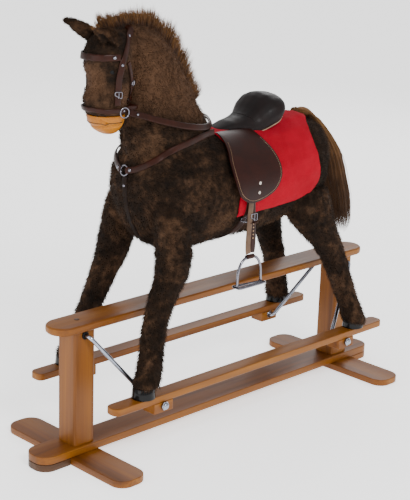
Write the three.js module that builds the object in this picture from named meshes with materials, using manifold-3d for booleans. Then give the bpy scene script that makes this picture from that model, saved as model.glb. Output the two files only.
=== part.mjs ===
// A plush-covered rocking horse that swings on a wooden stand.
// Millimetres. +X is forward (the horse's head), +Y is the horse's left, +Z is up.
// The origin is on the floor, under the middle of the stand.
import * as THREE from 'three';
import { mergeVertices } from 'three/addons/utils/BufferGeometryUtils.js';
import Module from 'manifold-3d';

const wasm = await Module();
wasm.setup();

// ---------------------------------------------------------------- driving dimensions
const GAP = 0.3; // clearance between pieces that touch
const SIDES = [1, -1]; // left, right
const SIDE_NAME = { 1: 'left', '-1': 'right' };
const ENDS = [1, -1]; // front, rear
const END_NAME = { 1: 'front', '-1': 'rear' };

const RAIL = { length: 1200, width: 80, thick: 20, corner: 34 };
const FOOT = { length: 440, width: 88, thick: 18, corner: 34, x: 474 };
const PILLAR = { size: 62, height: 286, x: 470, chamfer: 6 };
const TOP_RAIL = { length: 1104, width: 82, thick: 20, bullnose: 8 };
const RUNNER = { length: 976, width: 42, thick: 18, x: -3, y: 142, bottom: 153, corner: 16, bullnose: 3 };
const BLOCK = { length: 60, height: 26 };
const ROD = { radius: 5, bend: 12, shoulder: 50, pastRunner: 8 }; // shoulder: half its top stretch
const BUSH_RADIUS = 8;
const BUSH_FLANGE = { radius: 9.5, thick: 3 };
const HANGER = { x: 336, z: 144, elbow: 114 }; // lower pivot, and where the rod turns outward
const PIVOT_Z = 314;
const SLOT = { travel: 7, clearance: 0.8 }; // the rear hanger blocks' holes
const NUT = { radius: 11, height: 12, offset: 1 };
const HOOF = { x: 384, y: 143, bottom: 29, top: 26, height: 27 };
const POST = { radius: 10, x: 262, y: 96, top: 545 };
const FUR_STOP = 3; // the plush legs end this far above the hoof's foot
const LEATHER_STRAP = { x: 31, y: 135.6, hinge: 622, aboveHinge: 9, bottom: 454, width: 28, thick: 4.4 };
const IRON = { top: 452, tread: 372, width: 84, wire: 3.6, treadDepth: 26, treadThick: 6, treadCorner: 6 };
const STRAP = { width: 15, thick: 3, standOff: 3, throatWidth: 10 }; // standOff: skin to mid-thickness
const RING = { x: 326, z: 684, radius: 12, wire: 2 };
const FELT_THICK = 3;
const GIRTH = { x: 31, width: 30, thick: 2.5, top: 640 };
const FLAP = { thick: 3.5, liftUp: 6, liftOut: 17 }; // stands off the flank to let the leather hang
const MANE_THICK = 18;
const EAR_DROOP = { 1: 13, '-1': 0 }; // how far each ear's tip hangs back and down
const BEYOND_HORSE = 200; // further out than the horse's side, for side-view cuts

const railTop = FOOT.thick + GAP + RAIL.thick;
const pillarBottom = railTop + GAP;
const topRailBottom = pillarBottom + PILLAR.height + GAP;
const runnerTop = RUNNER.bottom + RUNNER.thick;

// ---------------------------------------------------------------- materials
const finish = (color, roughness, metalness = 0) => () =>
  new THREE.MeshStandardMaterial({ color, roughness, metalness });
const WOOD = finish('#a66e32', 0.4);
const DARK_WOOD = finish('#6b4a2c', 0.4);
const CHROME = finish('#c8ccd0', 0.15, 1);
const BLACK_PLASTIC = finish('#151515', 0.5);
const PLUSH = finish('#50392a', 0.95);
const HAIR = finish('#6b4424', 0.9);
const GLOSS_BLACK = finish('#0d0d0f', 0.15);
const LEATHER = finish('#50241a', 0.45);
const SADDLE_LEATHER = finish('#2e2524', 0.4);
const FELT = finish('#c51420', 0.95);
const MUZZLE_WOOD = finish('#c88232', 0.35);

const horse = new THREE.Group();

function add(name, geometry, material) {
  const mesh = new THREE.Mesh(geometry, material());
  mesh.name = name;
  horse.add(mesh);
  return mesh;
}

// ---------------------------------------------------------------- solids
function solid(geometry) {
  const bare = geometry.clone();
  for (const attribute of ['normal', 'uv']) bare.deleteAttribute(attribute);
  const merged = mergeVertices(bare, 1e-4);
  return new wasm.Manifold(new wasm.Mesh({
    numProp: 3,
    vertProperties: new Float32Array(merged.attributes.position.array),
    triVerts: new Uint32Array(merged.index.array),
  }));
}

function geometryOf(manifold) {
  const mesh = manifold.getMesh();
  const geometry = new THREE.BufferGeometry();
  geometry.setAttribute('position', new THREE.BufferAttribute(mesh.vertProperties, 3));
  geometry.setIndex(new THREE.BufferAttribute(mesh.triVerts, 1));
  return geometry;
}

function cut(geometry, ...tools) {
  return geometryOf(tools.reduce((body, tool) => body.subtract(solid(tool)), solid(geometry)));
}

function join(first, ...others) {
  return geometryOf(others.reduce((body, other) => body.add(solid(other)), solid(first)));
}

function common(first, second) {
  return geometryOf(solid(first).intersect(solid(second)));
}

// A board lying flat, centred on x and y, with rounded corners.
function board(length, width, thick, corner, bullnose = 0) {
  const l = length / 2 - bullnose;
  const w = width / 2 - bullnose;
  const c = corner - bullnose;
  const outline = new THREE.Shape();
  outline.moveTo(-l + c, -w);
  outline.lineTo(l - c, -w);
  outline.absarc(l - c, -w + c, c, -Math.PI / 2, 0);
  outline.absarc(l - c, w - c, c, 0, Math.PI / 2);
  outline.absarc(-l + c, w - c, c, Math.PI / 2, Math.PI);
  outline.absarc(-l + c, -w + c, c, Math.PI, Math.PI * 1.5);
  return new THREE.ExtrudeGeometry(outline, {
    depth: thick - 2 * bullnose,
    curveSegments: 5,
    bevelEnabled: bullnose > 0,
    bevelSize: bullnose,
    bevelThickness: bullnose,
    bevelSegments: bullnose > 5 ? 2 : 1,
  }).translate(0, 0, bullnose);
}

// A flat outline given in x and z, extruded along y from one side plane to the other.
function sideProfile(points, y0, y1) {
  const outline = new THREE.Shape(points.map(([x, z]) => new THREE.Vector2(x, z)));
  const slab = new THREE.ExtrudeGeometry(outline, { depth: y1 - y0, bevelEnabled: false });
  return slab.rotateX(Math.PI / 2).translate(0, y1, 0);
}

// A cylinder or cone from one point to another.
function rod(from, to, radius, segments = 12, endRadius = radius) {
  const start = new THREE.Vector3(...from);
  const along = new THREE.Vector3(...to).sub(start);
  const turn = new THREE.Quaternion().setFromUnitVectors(
    new THREE.Vector3(0, 1, 0), along.clone().normalize());
  return new THREE.CylinderGeometry(endRadius, radius, along.length(), segments)
    .translate(0, along.length() / 2, 0)
    .applyQuaternion(turn)
    .translate(...from);
}

// A solid of revolution about the y axis through (x, z).
function turned(profile, x, y, z, side, segments = 12) {
  const points = profile.map(([r, h]) => new THREE.Vector2(r, h));
  const geometry = new THREE.LatheGeometry(points, segments);
  if (side < 0) geometry.rotateX(Math.PI);
  return geometry.translate(x, side * y, z);
}

// A soft form laid through a row of stations. Each station is
// [x, y, z, half depth, half width]; the first and last are the form's closed ends.
// Rings lie level, upright (across x), or square to the path.
class Form {
  constructor(stations, rings, lie, around = 16) {
    this.path = new THREE.CatmullRomCurve3(stations.map((s) => new THREE.Vector3(s[0], s[1], s[2])));
    this.size = new THREE.CatmullRomCurve3(stations.map((s) => new THREE.Vector3(s[3], s[4], 0)));
    this.rings = rings;
    this.lie = lie;
    this.around = around;
  }

  frame(t) {
    const centre = this.path.getPoint(t);
    const size = this.size.getPoint(t);
    const depth = new THREE.Vector3(1, 0, 0);
    const width = new THREE.Vector3(0, 1, 0);
    if (this.lie === 'upright') depth.set(0, 0, 1);
    if (this.lie === 'square') depth.crossVectors(width, this.path.getTangent(t)).normalize();
    return { centre, size, depth, width };
  }

  point(t, angle, growDepth = 0, growWidth = growDepth) {
    const { centre, size, depth, width } = this.frame(t);
    return centre
      .addScaledVector(depth, (Math.max(size.x, 0) + growDepth) * Math.cos(angle))
      .addScaledVector(width, (Math.max(size.y, 0) + growWidth) * Math.sin(angle));
  }

  // How far along the path the form reaches a height, or a place in x if its rings stand upright.
  find(level) {
    const axis = this.lie === 'upright' ? 'x' : 'z';
    const rising = this.path.getPoint(1)[axis] > this.path.getPoint(0)[axis];
    let [low, high] = [0, 1];
    for (let i = 0; i < 30; i += 1) {
      const middle = (low + high) / 2;
      if (this.path.getPoint(middle)[axis] < level === rising) low = middle;
      else high = middle;
    }
    return low;
  }

  // The whole form, grown by a clearance along its depth and its width.
  geometry(growDepth = 0, growWidth = growDepth) {
    const ball = new THREE.SphereGeometry(1, this.around, this.rings);
    const position = ball.attributes.position;
    const row = this.around + 1;
    for (let i = 0; i < position.count; i += 1) {
      const ring = Math.floor(i / row);
      const angle = ((i % row) % this.around) / this.around * 2 * Math.PI;
      const end = ring === 0 || ring === this.rings;
      const t = ring / this.rings;
      const p = end ? this.frame(t).centre : this.point(t, angle, growDepth, growWidth);
      if (end && growDepth) {
        const inward = this.frame(ring === 0 ? 1 / this.rings : 1 - 1 / this.rings).centre;
        p.addScaledVector(inward.sub(p).normalize(), -growDepth);
      }
      position.setXYZ(i, p.x, p.y, p.z);
    }
    const merged = mergeVertices(new THREE.BufferGeometry()
      .setAttribute('position', position)
      .setIndex(ball.index), 1e-4);
    return volumeOf(merged) < 0 ? flipped(merged) : merged;
  }
}

function volumeOf(geometry) {
  const p = geometry.attributes.position;
  const index = geometry.index;
  const [a, b, c] = [0, 1, 2].map(() => new THREE.Vector3());
  let total = 0;
  for (let i = 0; i < index.count; i += 3) {
    [a, b, c].forEach((v, k) => v.fromBufferAttribute(p, index.getX(i + k)));
    total += a.dot(b.cross(c)) / 6;
  }
  return total;
}

function flipped(geometry) {
  const index = geometry.index;
  for (let i = 0; i < index.count; i += 3) {
    const first = index.getX(i);
    index.setX(i, index.getX(i + 1));
    index.setX(i + 1, first);
  }
  return geometry;
}

// A flat strap through points, with its broad face square to each outward direction.
function strap(points, outward, width, thick) {
  const rings = points.length - 1;
  const box = new THREE.BoxGeometry(width, thick, 1, 1, 1, rings);
  const position = box.attributes.position;
  const path = points.map((p) => new THREE.Vector3(...p));
  for (let i = 0; i < position.count; i += 1) {
    const ring = Math.round((position.getZ(i) + 0.5) * rings);
    const ahead = path[Math.min(ring + 1, rings)];
    const behind = path[Math.max(ring - 1, 0)];
    const along = ahead.clone().sub(behind).normalize();
    const out = new THREE.Vector3(...outward[ring]).normalize();
    const across = new THREE.Vector3().crossVectors(out, along).normalize();
    const face = new THREE.Vector3().crossVectors(along, across);
    const p = path[ring].clone()
      .addScaledVector(across, position.getX(i))
      .addScaledVector(face, position.getY(i));
    position.setXYZ(i, p.x, p.y, p.z);
  }
  return box;
}

// ---------------------------------------------------------------- stand
function buildStand() {
  const railZ = FOOT.thick + GAP;
  add('bottom_rail', board(RAIL.length, RAIL.width, RAIL.thick, RAIL.corner).translate(0, 0, railZ), WOOD);
  for (const end of ENDS) {
    const name = END_NAME[end];
    const foot = board(FOOT.width, FOOT.length, FOOT.thick, FOOT.corner);
    add(`${name}_foot`, foot.translate(end * FOOT.x, 0, 0), WOOD);
    add(`${name}_end_block`, endBlock(end), end > 0 ? DARK_WOOD : WOOD);
    add(`${name}_pillar`, pillar(end), WOOD);
    add(`${name}_bush`, pillarBush(end), BLACK_PLASTIC);
  }
  const { length, width, thick, bullnose } = TOP_RAIL;
  const top = board(length, width, thick, width / 2, bullnose);
  add('top_rail', top.translate(0, 0, topRailBottom), WOOD);
}

// The packer that brings each end of the bottom rail down to the floor, outside the foot.
function endBlock(end) {
  const whole = board(RAIL.length, RAIL.width, FOOT.thick, RAIL.corner);
  const inner = FOOT.x + FOOT.width / 2 + GAP;
  const kept = new THREE.BoxGeometry(RAIL.length, RAIL.width * 2, FOOT.thick * 4)
    .translate(end * (inner + RAIL.length / 2), 0, 0);
  return common(whole, kept);
}

// A square post with eased corners and a slot across its top for the swing rod and its bush.
function pillar(end) {
  const x = end * PILLAR.x;
  const post = board(PILLAR.size, PILLAR.size, PILLAR.height, PILLAR.chamfer)
    .translate(x, 0, pillarBottom);
  const slotRadius = BUSH_RADIUS + GAP;
  const round = rod([x, -PILLAR.size, PIVOT_Z], [x, PILLAR.size, PIVOT_Z], slotRadius, 16);
  const mouth = new THREE.BoxGeometry(2 * slotRadius, PILLAR.size * 2, PILLAR.size)
    .translate(x, 0, PIVOT_Z + PILLAR.size / 2);
  return cut(post, round, mouth);
}

// A flanged sleeve lining the pillar's slot.
function pillarBush(end) {
  const half = PILLAR.size / 2 + GAP;
  const outer = half + BUSH_FLANGE.thick;
  const bore = ROD.radius + GAP;
  const flange = BUSH_FLANGE.radius;
  const profile = [
    [bore, -outer], [flange, -outer], [flange, -half], [BUSH_RADIUS, -half],
    [BUSH_RADIUS, half], [flange, half], [flange, outer], [bore, outer], [bore, -outer],
  ];
  return turned(profile, end * PILLAR.x, 0, PIVOT_Z, 1);
}

// ---------------------------------------------------------------- swing rods
// One bent steel rod: across the pillar's top, down and inward along both sides of the
// stand, and out through the hanger blocks.
function buildSwingRods() {
  const outerFace = RUNNER.y + RUNNER.width / 2;
  for (const end of ENDS) {
    const name = END_NAME[end];
    const top = [end * PILLAR.x, PIVOT_Z];
    const low = [end * HANGER.x, HANGER.z];
    const armPoint = (share) => [
      THREE.MathUtils.lerp(top[0], low[0], share),
      THREE.MathUtils.lerp(ROD.shoulder, HANGER.elbow, share),
      THREE.MathUtils.lerp(top[1], low[1], share),
    ];
    const armLength = Math.hypot(top[0] - low[0], HANGER.elbow - ROD.shoulder, top[1] - low[1]);
    const share = ROD.bend / armLength;
    const tip = outerFace + ROD.pastRunner;
    const half = [
      [top[0], ROD.shoulder - ROD.bend, top[1]],
      [top[0], ROD.shoulder - ROD.bend * 0.3, top[1]],
      armPoint(share * 0.3),
      armPoint(share),
      armPoint(0.5),
      armPoint(1 - share),
      armPoint(1 - share * 0.3),
      [low[0], HANGER.elbow + ROD.bend * 0.3, low[1]],
      [low[0], HANGER.elbow + ROD.bend, low[1]],
      [low[0], tip, low[1]],
    ];
    const mirrored = half.map(([x, y, z]) => [x, -y, z]).reverse();
    add(`${name}_swing_rod`, roundWire([...mirrored, ...half], ROD.radius, 10), CHROME);
    for (const side of SIDES) {
      const cap = turned(domeProfile(), low[0], outerFace + NUT.offset, low[1], side);
      const bore = rod([low[0], 0, low[1]], [low[0], side * (tip + GAP), low[1]], ROD.radius + GAP);
      add(`${name}_${SIDE_NAME[side]}_dome_nut`, cut(cap, bore), CHROME);
    }
  }
}

function domeProfile() {
  const { radius, height } = NUT;
  return [
    [0, 0], [radius, 0], [radius, height * 0.25], [radius * 0.75, height * 0.67],
    [radius * 0.35, height * 0.92], [0, height],
  ];
}

// A round wire through points, each ring square to the bisector of its two stretches.
function roundWire(points, radius, around) {
  const path = points.map((p) => new THREE.Vector3(...p));
  const last = path.length - 1;
  const tube = new THREE.CylinderGeometry(1, 1, 1, around, last, false);
  const position = tube.attributes.position;
  let side = new THREE.Vector3(0, 0, 1);
  const frames = path.map((p, i) => {
    const along = path[Math.min(i + 1, last)].clone().sub(path[Math.max(i - 1, 0)]).normalize();
    side = side.clone().addScaledVector(along, -side.dot(along)).normalize();
    return { p, side, other: new THREE.Vector3().crossVectors(side, along) };
  });
  for (let i = 0; i < position.count; i += 1) {
    const { p, side: a, other: b } = frames[Math.round((position.getY(i) + 0.5) * last)];
    const q = p.clone()
      .addScaledVector(a, radius * position.getX(i))
      .addScaledVector(b, radius * position.getZ(i));
    position.setXYZ(i, q.x, q.y, q.z);
  }
  return tube;
}

// ---------------------------------------------------------------- rocker
function buildRocker() {
  for (const side of SIDES) {
    const name = SIDE_NAME[side];
    const runner = board(RUNNER.length, RUNNER.width, RUNNER.thick, RUNNER.corner, RUNNER.bullnose);
    add(`${name}_runner`, runner.translate(RUNNER.x, side * RUNNER.y, RUNNER.bottom), WOOD);
    for (const end of ENDS) {
      add(`${END_NAME[end]}_${name}_hanger`, hangerBlock(end, side), WOOD);
    }
  }
}

// The rear blocks' holes are slots, which let the rear rod's end move along the runner.
function hangerBlock(end, side) {
  const x = end * HANGER.x;
  const block = new THREE.BoxGeometry(BLOCK.length, RUNNER.width, BLOCK.height)
    .translate(x, side * RUNNER.y, RUNNER.bottom - GAP - BLOCK.height / 2);
  const hole = (at, radius) => rod([at, side * (RUNNER.y - RUNNER.width), HANGER.z],
    [at, side * (RUNNER.y + RUNNER.width), HANGER.z], radius);
  if (end > 0) return cut(block, hole(x, ROD.radius + GAP));
  const radius = ROD.radius + SLOT.clearance;
  const middle = new THREE.BoxGeometry(SLOT.travel, 2 * RUNNER.width, 2 * radius)
    .translate(x - SLOT.travel / 2, side * RUNNER.y, HANGER.z);
  return cut(block, middle, hole(x, radius), hole(x - SLOT.travel, radius));
}

// ---------------------------------------------------------------- the horse's body
const trunk = new Form([
  [-350, 0, 645, 0, 0], [-338, 0, 648, 60, 55], [-300, 0, 642, 99, 92], [-240, 0, 632, 124, 116],
  [-160, 0, 618, 133, 124], [-70, 0, 608, 135, 126], [30, 0, 608, 136, 126], [120, 0, 608, 139, 126],
  [200, 0, 614, 142, 122], [250, 0, 625, 136, 112], [280, 0, 636, 122, 96], [303, 0, 646, 92, 68],
  [317, 0, 652, 44, 34], [321, 0, 654, 0, 0],
], 18, 'upright', 20);

const neck = new Form([
  [185, 0, 690, 0, 0], [188, 0, 698, 122, 80], [198, 0, 760, 130, 75], [214, 0, 800, 117, 64],
  [226, 0, 840, 104, 57], [234, 0, 880, 92, 54], [250, 0, 920, 81, 52], [275, 0, 960, 72, 48],
  [295, 0, 990, 63, 43], [312, 0, 1013, 44, 30], [318, 0, 1024, 0, 0],
], 14, 'level', 16);

const head = new Form([
  [386, 0, 826, 0, 0], [389, 0, 826.4, 44, 45], [390, 0, 842, 46, 46], [389, 0, 862, 48, 46],
  [382, 0, 884, 48, 44], [382, 0, 904, 52, 46], [386, 0, 932, 57, 49], [385, 0, 960, 58, 49],
  [381, 0, 985, 54, 46], [376, 0, 1007, 42, 37], [372, 0, 1022, 0, 0],
], 16, 'level', 16);

// The blanket's outline seen from the side, and the room it takes up round the trunk.
const blanketSide = sideProfile([
  [67, 543], [67, 790], [-288, 790], [-284, 745], [-247, 733], [-224, 712], [-221, 680], [-228, 614],
  [-231, 584], [-222, 566], [-200, 557], [-100, 549],
], -BEYOND_HORSE, BEYOND_HORSE);
const overFelt = FELT_THICK + 2 * GAP;
const blanketRoom = common(trunk.geometry(overFelt), blanketSide);

function legForm(end, side) {
  const front = [
    [256, 68, 650, 0, 0], [257, 76, 630, 24, 20], [257, 86, 590, 38, 32], [258, 96, 545, 44, 36],
    [261, 105, 485, 47, 40], [272, 110, 440, 42, 38], [296, 110, 398, 34, 34], [322, 114, 343, 30, 30],
    [338, 121, 300, 29, 29], [352, 130, 255, 29, 29], [365, 138, 222, 31, 30], [374, 141, 205, 33, 32],
    [378, 142, 196, 31, 31], [378, 142, 195.6, 0, 0],
  ];
  const rear = [
    [-220, 64, 572, 0, 0], [-222, 70, 564, 70, 58], [-229, 84, 524, 70, 55], [-247, 97, 480, 58, 46],
    [-284, 107, 430, 46, 38], [-311, 114, 385, 36, 32], [-345, 121, 312, 31, 30], [-363, 129, 262, 30, 28],
    [-380, 139, 215, 31, 30], [-387, 142, 194, 33, 32], [-389, 143, 186, 31, 31], [-389, 143, 185.6, 0, 0],
  ];
  const stations = end > 0 ? front : rear;
  return new Form(stations.map(([x, y, z, d, w]) => [x, side * y, z, d, w]), 13, 'level', 12);
}

// A wooden post from the hoof's sole up into the trunk.
function postEnds(end, side) {
  const foot = [end * HOOF.x, side * HOOF.y, runnerTop + GAP];
  const head = [end * POST.x, side * POST.y, POST.top];
  return [foot, head];
}

function lengthened([from, to], extra) {
  const start = new THREE.Vector3(...from);
  const stop = new THREE.Vector3(...to);
  const step = stop.clone().sub(start).normalize().multiplyScalar(extra);
  return [start.sub(step).toArray(), stop.add(step).toArray()];
}

const postBore = (end, side) => rod(...lengthened(postEnds(end, side), 2), POST.radius + GAP);

function buildBody() {
  const bores = ENDS.flatMap((end) => SIDES.map((side) => postBore(end, side)));
  add('body', cut(join(trunk.geometry(), neck.geometry()), ...bores), PLUSH);
  const grownBody = [trunk.geometry(GAP), neck.geometry(GAP)];
  add('head', cut(head.geometry(), ...grownBody), PLUSH);

  for (const end of ENDS) {
    for (const side of SIDES) {
      const name = `${END_NAME[end]}_${SIDE_NAME[side]}`;
      const [foot] = postEnds(end, side);
      const hoof = rod(foot, [foot[0], foot[1], foot[2] + HOOF.height], HOOF.bottom, 16, HOOF.top);
      const skin = rod([foot[0], foot[1], foot[2] + FUR_STOP],
        [foot[0], foot[1], foot[2] + HOOF.height + GAP], HOOF.bottom + GAP, 16, HOOF.top + GAP);
      const leg = cut(legForm(end, side).geometry(), ...grownBody, blanketRoom, postBore(end, side), skin);
      add(`${name}_leg`, leg, PLUSH);
      add(`${name}_hoof`, cut(hoof, postBore(end, side)), GLOSS_BLACK);
      const post = rod(...postEnds(end, side), POST.radius);
      const floor = new THREE.BoxGeometry(100, 100, 40).translate(foot[0], foot[1], foot[2] - 20);
      add(`${name}_leg_post`, cut(post, floor), WOOD);
    }
  }
}

// ---------------------------------------------------------------- muzzle, ears, mane and tail
function buildHeadPieces() {
  const muzzle = new Form([
    [388, 0, 825.7, 0, 0], [389, 0, 825.4, 44, 45], [389, 0, 812, 43, 44], [387, 0, 796, 36, 37],
    [383, 0, 783, 22, 23], [381, 0, 777, 0, 0],
  ], 8, 'level', 16);
  add('muzzle', muzzle.geometry(), MUZZLE_WOOD);
  for (const side of SIDES) {
    const droop = EAR_DROOP[side];
    const ear = new Form([
      [384, side * 30, 975, 0, 0], [392, side * 33, 985, 15, 18], [408, side * 37, 1000, 20, 22],
      [430 - droop / 2, side * 41, 1013 - droop / 2, 19, 21], [450 - droop, side * 44, 1025 - droop, 14, 16],
      [464 - droop, side * 46, 1034 - droop, 8, 9], [471 - droop, side * 46, 1039 - droop, 0, 0],
    ], 10, 'square', 12);
    add(`${SIDE_NAME[side]}_ear`, cut(ear.geometry(), head.geometry(GAP), neck.geometry(GAP)), PLUSH);
  }
  const maneTools = [head.geometry(GAP), neck.geometry(GAP), trunk.geometry(GAP), headpiece(GAP)];
  add('mane', cut(maneStrip(), ...maneTools), HAIR);
  const tail = new Form([
    [-250, 0, 744, 0, 0], [-262, 0, 752, 12, 12], [-288, 0, 752, 17, 17], [-318, 0, 740, 22, 22],
    [-348, 0, 716, 27, 27], [-378, 0, 680, 31, 31], [-406, 0, 622, 34, 34], [-437, 0, 536, 36, 36],
    [-466, 0, 452, 34, 34], [-480, 0, 410, 26, 26], [-487, 0, 392, 15, 15], [-491, 0, 382, 0, 0],
  ], 14, 'square', 12);
  add('tail', cut(tail.geometry(), trunk.geometry(GAP), blanketRoom), HAIR);
}

// The mane and forelock in one strip, standing along the crest of the neck.
function maneStrip() {
  const crest = new THREE.SplineCurve([
    [432, 1012], [425, 1034], [402, 1047], [372, 1045], [345, 1054], [310, 1060], [270, 1056], [232, 1043],
    [203, 1023], [170, 987], [142, 951], [121, 913], [102, 874], [87, 838], [90, 818],
  ].map(([x, z]) => new THREE.Vector2(x, z)));
  const root = [[120, 830], [165, 900], [220, 965], [280, 1002], [350, 1000], [400, 1000]];
  const outline = [...crest.getPoints(36).map((p) => [p.x, p.y]), ...root];
  return sideProfile(outline, -MANE_THICK / 2, MANE_THICK / 2);
}

// ---------------------------------------------------------------- saddle
function shell(form, low, thick, outline) {
  const [up, out] = low;
  return cut(common(form.geometry(up + thick, out + thick), outline), form.geometry(up, out));
}

function buildSaddle() {
  add('blanket', cut(shell(trunk, [GAP, GAP], FELT_THICK, blanketSide), neck.geometry(GAP)), FELT);

  const seat = new Form([
    [56, 0, 744, 0, 0], [50, 0, 743, 7, 18], [28, 0, 742, 13, 28], [2, 0, 740, 21, 36],
    [-26, 0, 738, 27, 44], [-56, 0, 741, 32, 51], [-74, 0, 748, 37, 56], [-90, 0, 760, 44, 64],
    [-110, 0, 771, 49, 72], [-132, 0, 778, 44, 76], [-150, 0, 788, 33, 69], [-166, 0, 793, 22, 46],
    [-175, 0, 794, 0, 0],
  ], 16, 'upright', 16);
  add('saddle_seat', cut(seat.geometry(), trunk.geometry(overFelt), neck.geometry(GAP)), SADDLE_LEATHER);

  for (const side of SIDES) {
    const flapSide = new THREE.SplineCurve([
      [60, 756], [71, 734], [85, 711], [95, 690], [96, 656], [84, 615], [62, 595], [36, 586], [0, 591],
      [-40, 607], [-64, 634], [-71, 660], [-66, 694], [-54, 724], [-44, 756],
    ].map(([x, z]) => new THREE.Vector2(x, z))).getPoints(20).map((p) => [p.x, p.y]);
    const nearSpine = 40;
    const half = side > 0
      ? sideProfile(flapSide, nearSpine, BEYOND_HORSE)
      : sideProfile(flapSide, -BEYOND_HORSE, -nearSpine);
    const flap = shell(trunk, [FLAP.liftUp, FLAP.liftOut], FLAP.thick, half);
    add(`${SIDE_NAME[side]}_flap`, cut(flap, neck.geometry(GAP), seat.geometry(GAP)), LEATHER);
  }

  const x0 = GIRTH.x - GIRTH.width / 2;
  const belowBelly = 400;
  const girthSide = sideProfile([
    [x0, belowBelly], [x0 + GIRTH.width, belowBelly], [x0 + GIRTH.width, GIRTH.top], [x0, GIRTH.top],
  ], -BEYOND_HORSE, BEYOND_HORSE);
  add('girth', shell(trunk, [overFelt, overFelt], GIRTH.thick, girthSide), LEATHER);
}

// ---------------------------------------------------------------- stirrups
function buildStirrups() {
  for (const side of SIDES) {
    const name = SIDE_NAME[side];
    const { x, y, hinge, aboveHinge, bottom, width, thick } = LEATHER_STRAP;
    const length = hinge + aboveHinge - bottom;
    const leather = new THREE.BoxGeometry(width, thick, length)
      .translate(x, side * y, bottom + length / 2);
    add(`${name}_stirrup_leather`, leather, LEATHER);

    const tread = board(IRON.width + 2 * IRON.wire, IRON.treadDepth, IRON.treadThick, IRON.treadCorner)
      .translate(x, side * y, IRON.tread);
    const arch = roundWire(ironArch(x, side * y), IRON.wire, 6);
    add(`${name}_stirrup_iron`, join(arch, tread), CHROME);
  }
}

// The bow of a stirrup iron: both its feet stand in the tread.
function ironArch(x, y) {
  const steps = 12;
  const foot = IRON.tread + IRON.treadThick / 2;
  const rise = IRON.top - IRON.wire - foot;
  const arch = [];
  for (let i = 0; i <= steps; i += 1) {
    const angle = Math.PI * i / steps;
    arch.push([x + IRON.width / 2 * Math.cos(angle), y, foot + rise * Math.sin(angle) ** 0.8]);
  }
  return arch;
}

// ---------------------------------------------------------------- bridle, reins and breastplate
// Points round the head at one height, with their outward directions.
function headBand(height, from, to, steps) {
  const t = head.find(height);
  const points = [];
  const outward = [];
  for (let i = 0; i <= steps; i += 1) {
    const angle = THREE.MathUtils.degToRad(THREE.MathUtils.lerp(from, to, i / steps));
    const p = head.point(t, angle, STRAP.standOff);
    points.push(p.toArray());
    outward.push(p.sub(head.frame(t).centre).toArray());
  }
  return strap(points, outward, STRAP.width, STRAP.thick);
}

// A strap that runs down both sides of the horse, given by its left half from the middle line.
function pairedStrap(half, outward, width, thick = STRAP.thick) {
  const flip = ([x, y, z]) => [x, -y, z];
  const points = [...half.slice(1).reverse(), ...half.map(flip)];
  const faces = [...outward.slice(1).reverse(), ...outward.map(flip)];
  return strap(points, faces, width, thick);
}

// The strap over the poll, behind the ears, and down both cheeks, grown by a clearance.
function headpiece(grow) {
  const crown = [[342, 0, 1032], [343, 22, 1027], [348, 38, 1012], [360, 48, 990], [378, 52, 965],
    [392, 53, 944], [397, 52, 900], [397, 50, 875], [397, 50, 852]];
  const outward = [[0, 0, 1], [0, 0.6, 1], [0, 1, 0.6], [0, 1, 0.1], [0, 1, 0], [0, 1, 0], [0, 1, 0],
    [0, 1, 0], [0, 1, 0]];
  return pairedStrap(crown, outward, STRAP.width + 2 * grow, STRAP.thick + 2 * grow);
}

function buildTack() {
  const bare = [head, neck, trunk].map((form) => form.geometry(GAP));
  add('browband', cut(headBand(962, -68, 68, 14), ...bare), LEATHER);
  add('noseband', cut(headBand(838, -176, 176, 24), ...bare), LEATHER);

  add('headpiece', cut(headpiece(0), ...bare), LEATHER);

  const throat = [[335, 0, 856], [338, 22, 860], [343, 38, 872], [349, 48, 892], [356, 53, 920],
    [366, 53, 946]];
  const throatOut = [[0.3, 0, -1], [0.2, 0.5, -1], [0, 1, -0.7], [0, 1, -0.2], [0, 1, 0], [0, 1, 0]];
  add('throatlatch', cut(pairedStrap(throat, throatOut, STRAP.throatWidth), ...bare), LEATHER);

  const rein = [[77, 0, 784], [82, 24, 780], [102, 50, 774], [140, 72, 776], [185, 81, 783], [235, 79, 794],
    [285, 70, 808], [325, 60, 821], [366, 48, 834]];
  const reinOut = [[-1, 0, 1], [-1, 0.6, 0.6], [-1, 1.4, 0.3], [-0.4, 1, 0.1], [0, 1, 0.1], [0.2, 1, 0],
    [0.2, 1, 0], [0.2, 1, 0], [0.1, 1, 0]];
  add('rein', cut(pairedStrap(rein, reinOut, STRAP.width), ...bare), LEATHER);

  add('breast_ring', breastRing(), CHROME);

  const route = [[316, 692], [306, 700], [288, 713], [265, 727], [232, 738], [196, 746], [160, 752],
    [126, 755]];
  for (const side of SIDES) {
    const points = route.map(([x, z]) => [x, side * (flank(x, z) + STRAP.standOff), z]);
    points[0] = [322, side * 19, 690];
    const faces = points.map(([x, y]) => [Math.max(x - 270, 0) * 0.02, Math.sign(y), 0.25]);
    const breast = strap(points, faces, STRAP.width, STRAP.thick);
    add(`${SIDE_NAME[side]}_breast_strap`, cut(breast, ...bare), LEATHER);
  }
  const down = [[325, 0, 668], [322, 0, 640], [312, 0, 600], [292, 0, 556], [262, 0, 520]];
  const downOut = [[1, 0, 0], [1, 0, 0], [1, 0, -0.2], [1, 0, -0.5], [1, 0, -0.9]];
  add('chest_strap', cut(strap(down, downOut, STRAP.width, STRAP.thick), ...bare), LEATHER);
}

function breastRing() {
  const steps = 6;
  const hoop = [];
  for (let i = 0; i <= steps; i += 1) {
    const angle = 2 * Math.PI * i / steps;
    hoop.push(new THREE.Vector2(RING.radius + RING.wire * Math.cos(angle), RING.wire * Math.sin(angle)));
  }
  return new THREE.LatheGeometry(hoop, 14).rotateZ(Math.PI / 2).translate(RING.x, 0, RING.z);
}

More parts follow.
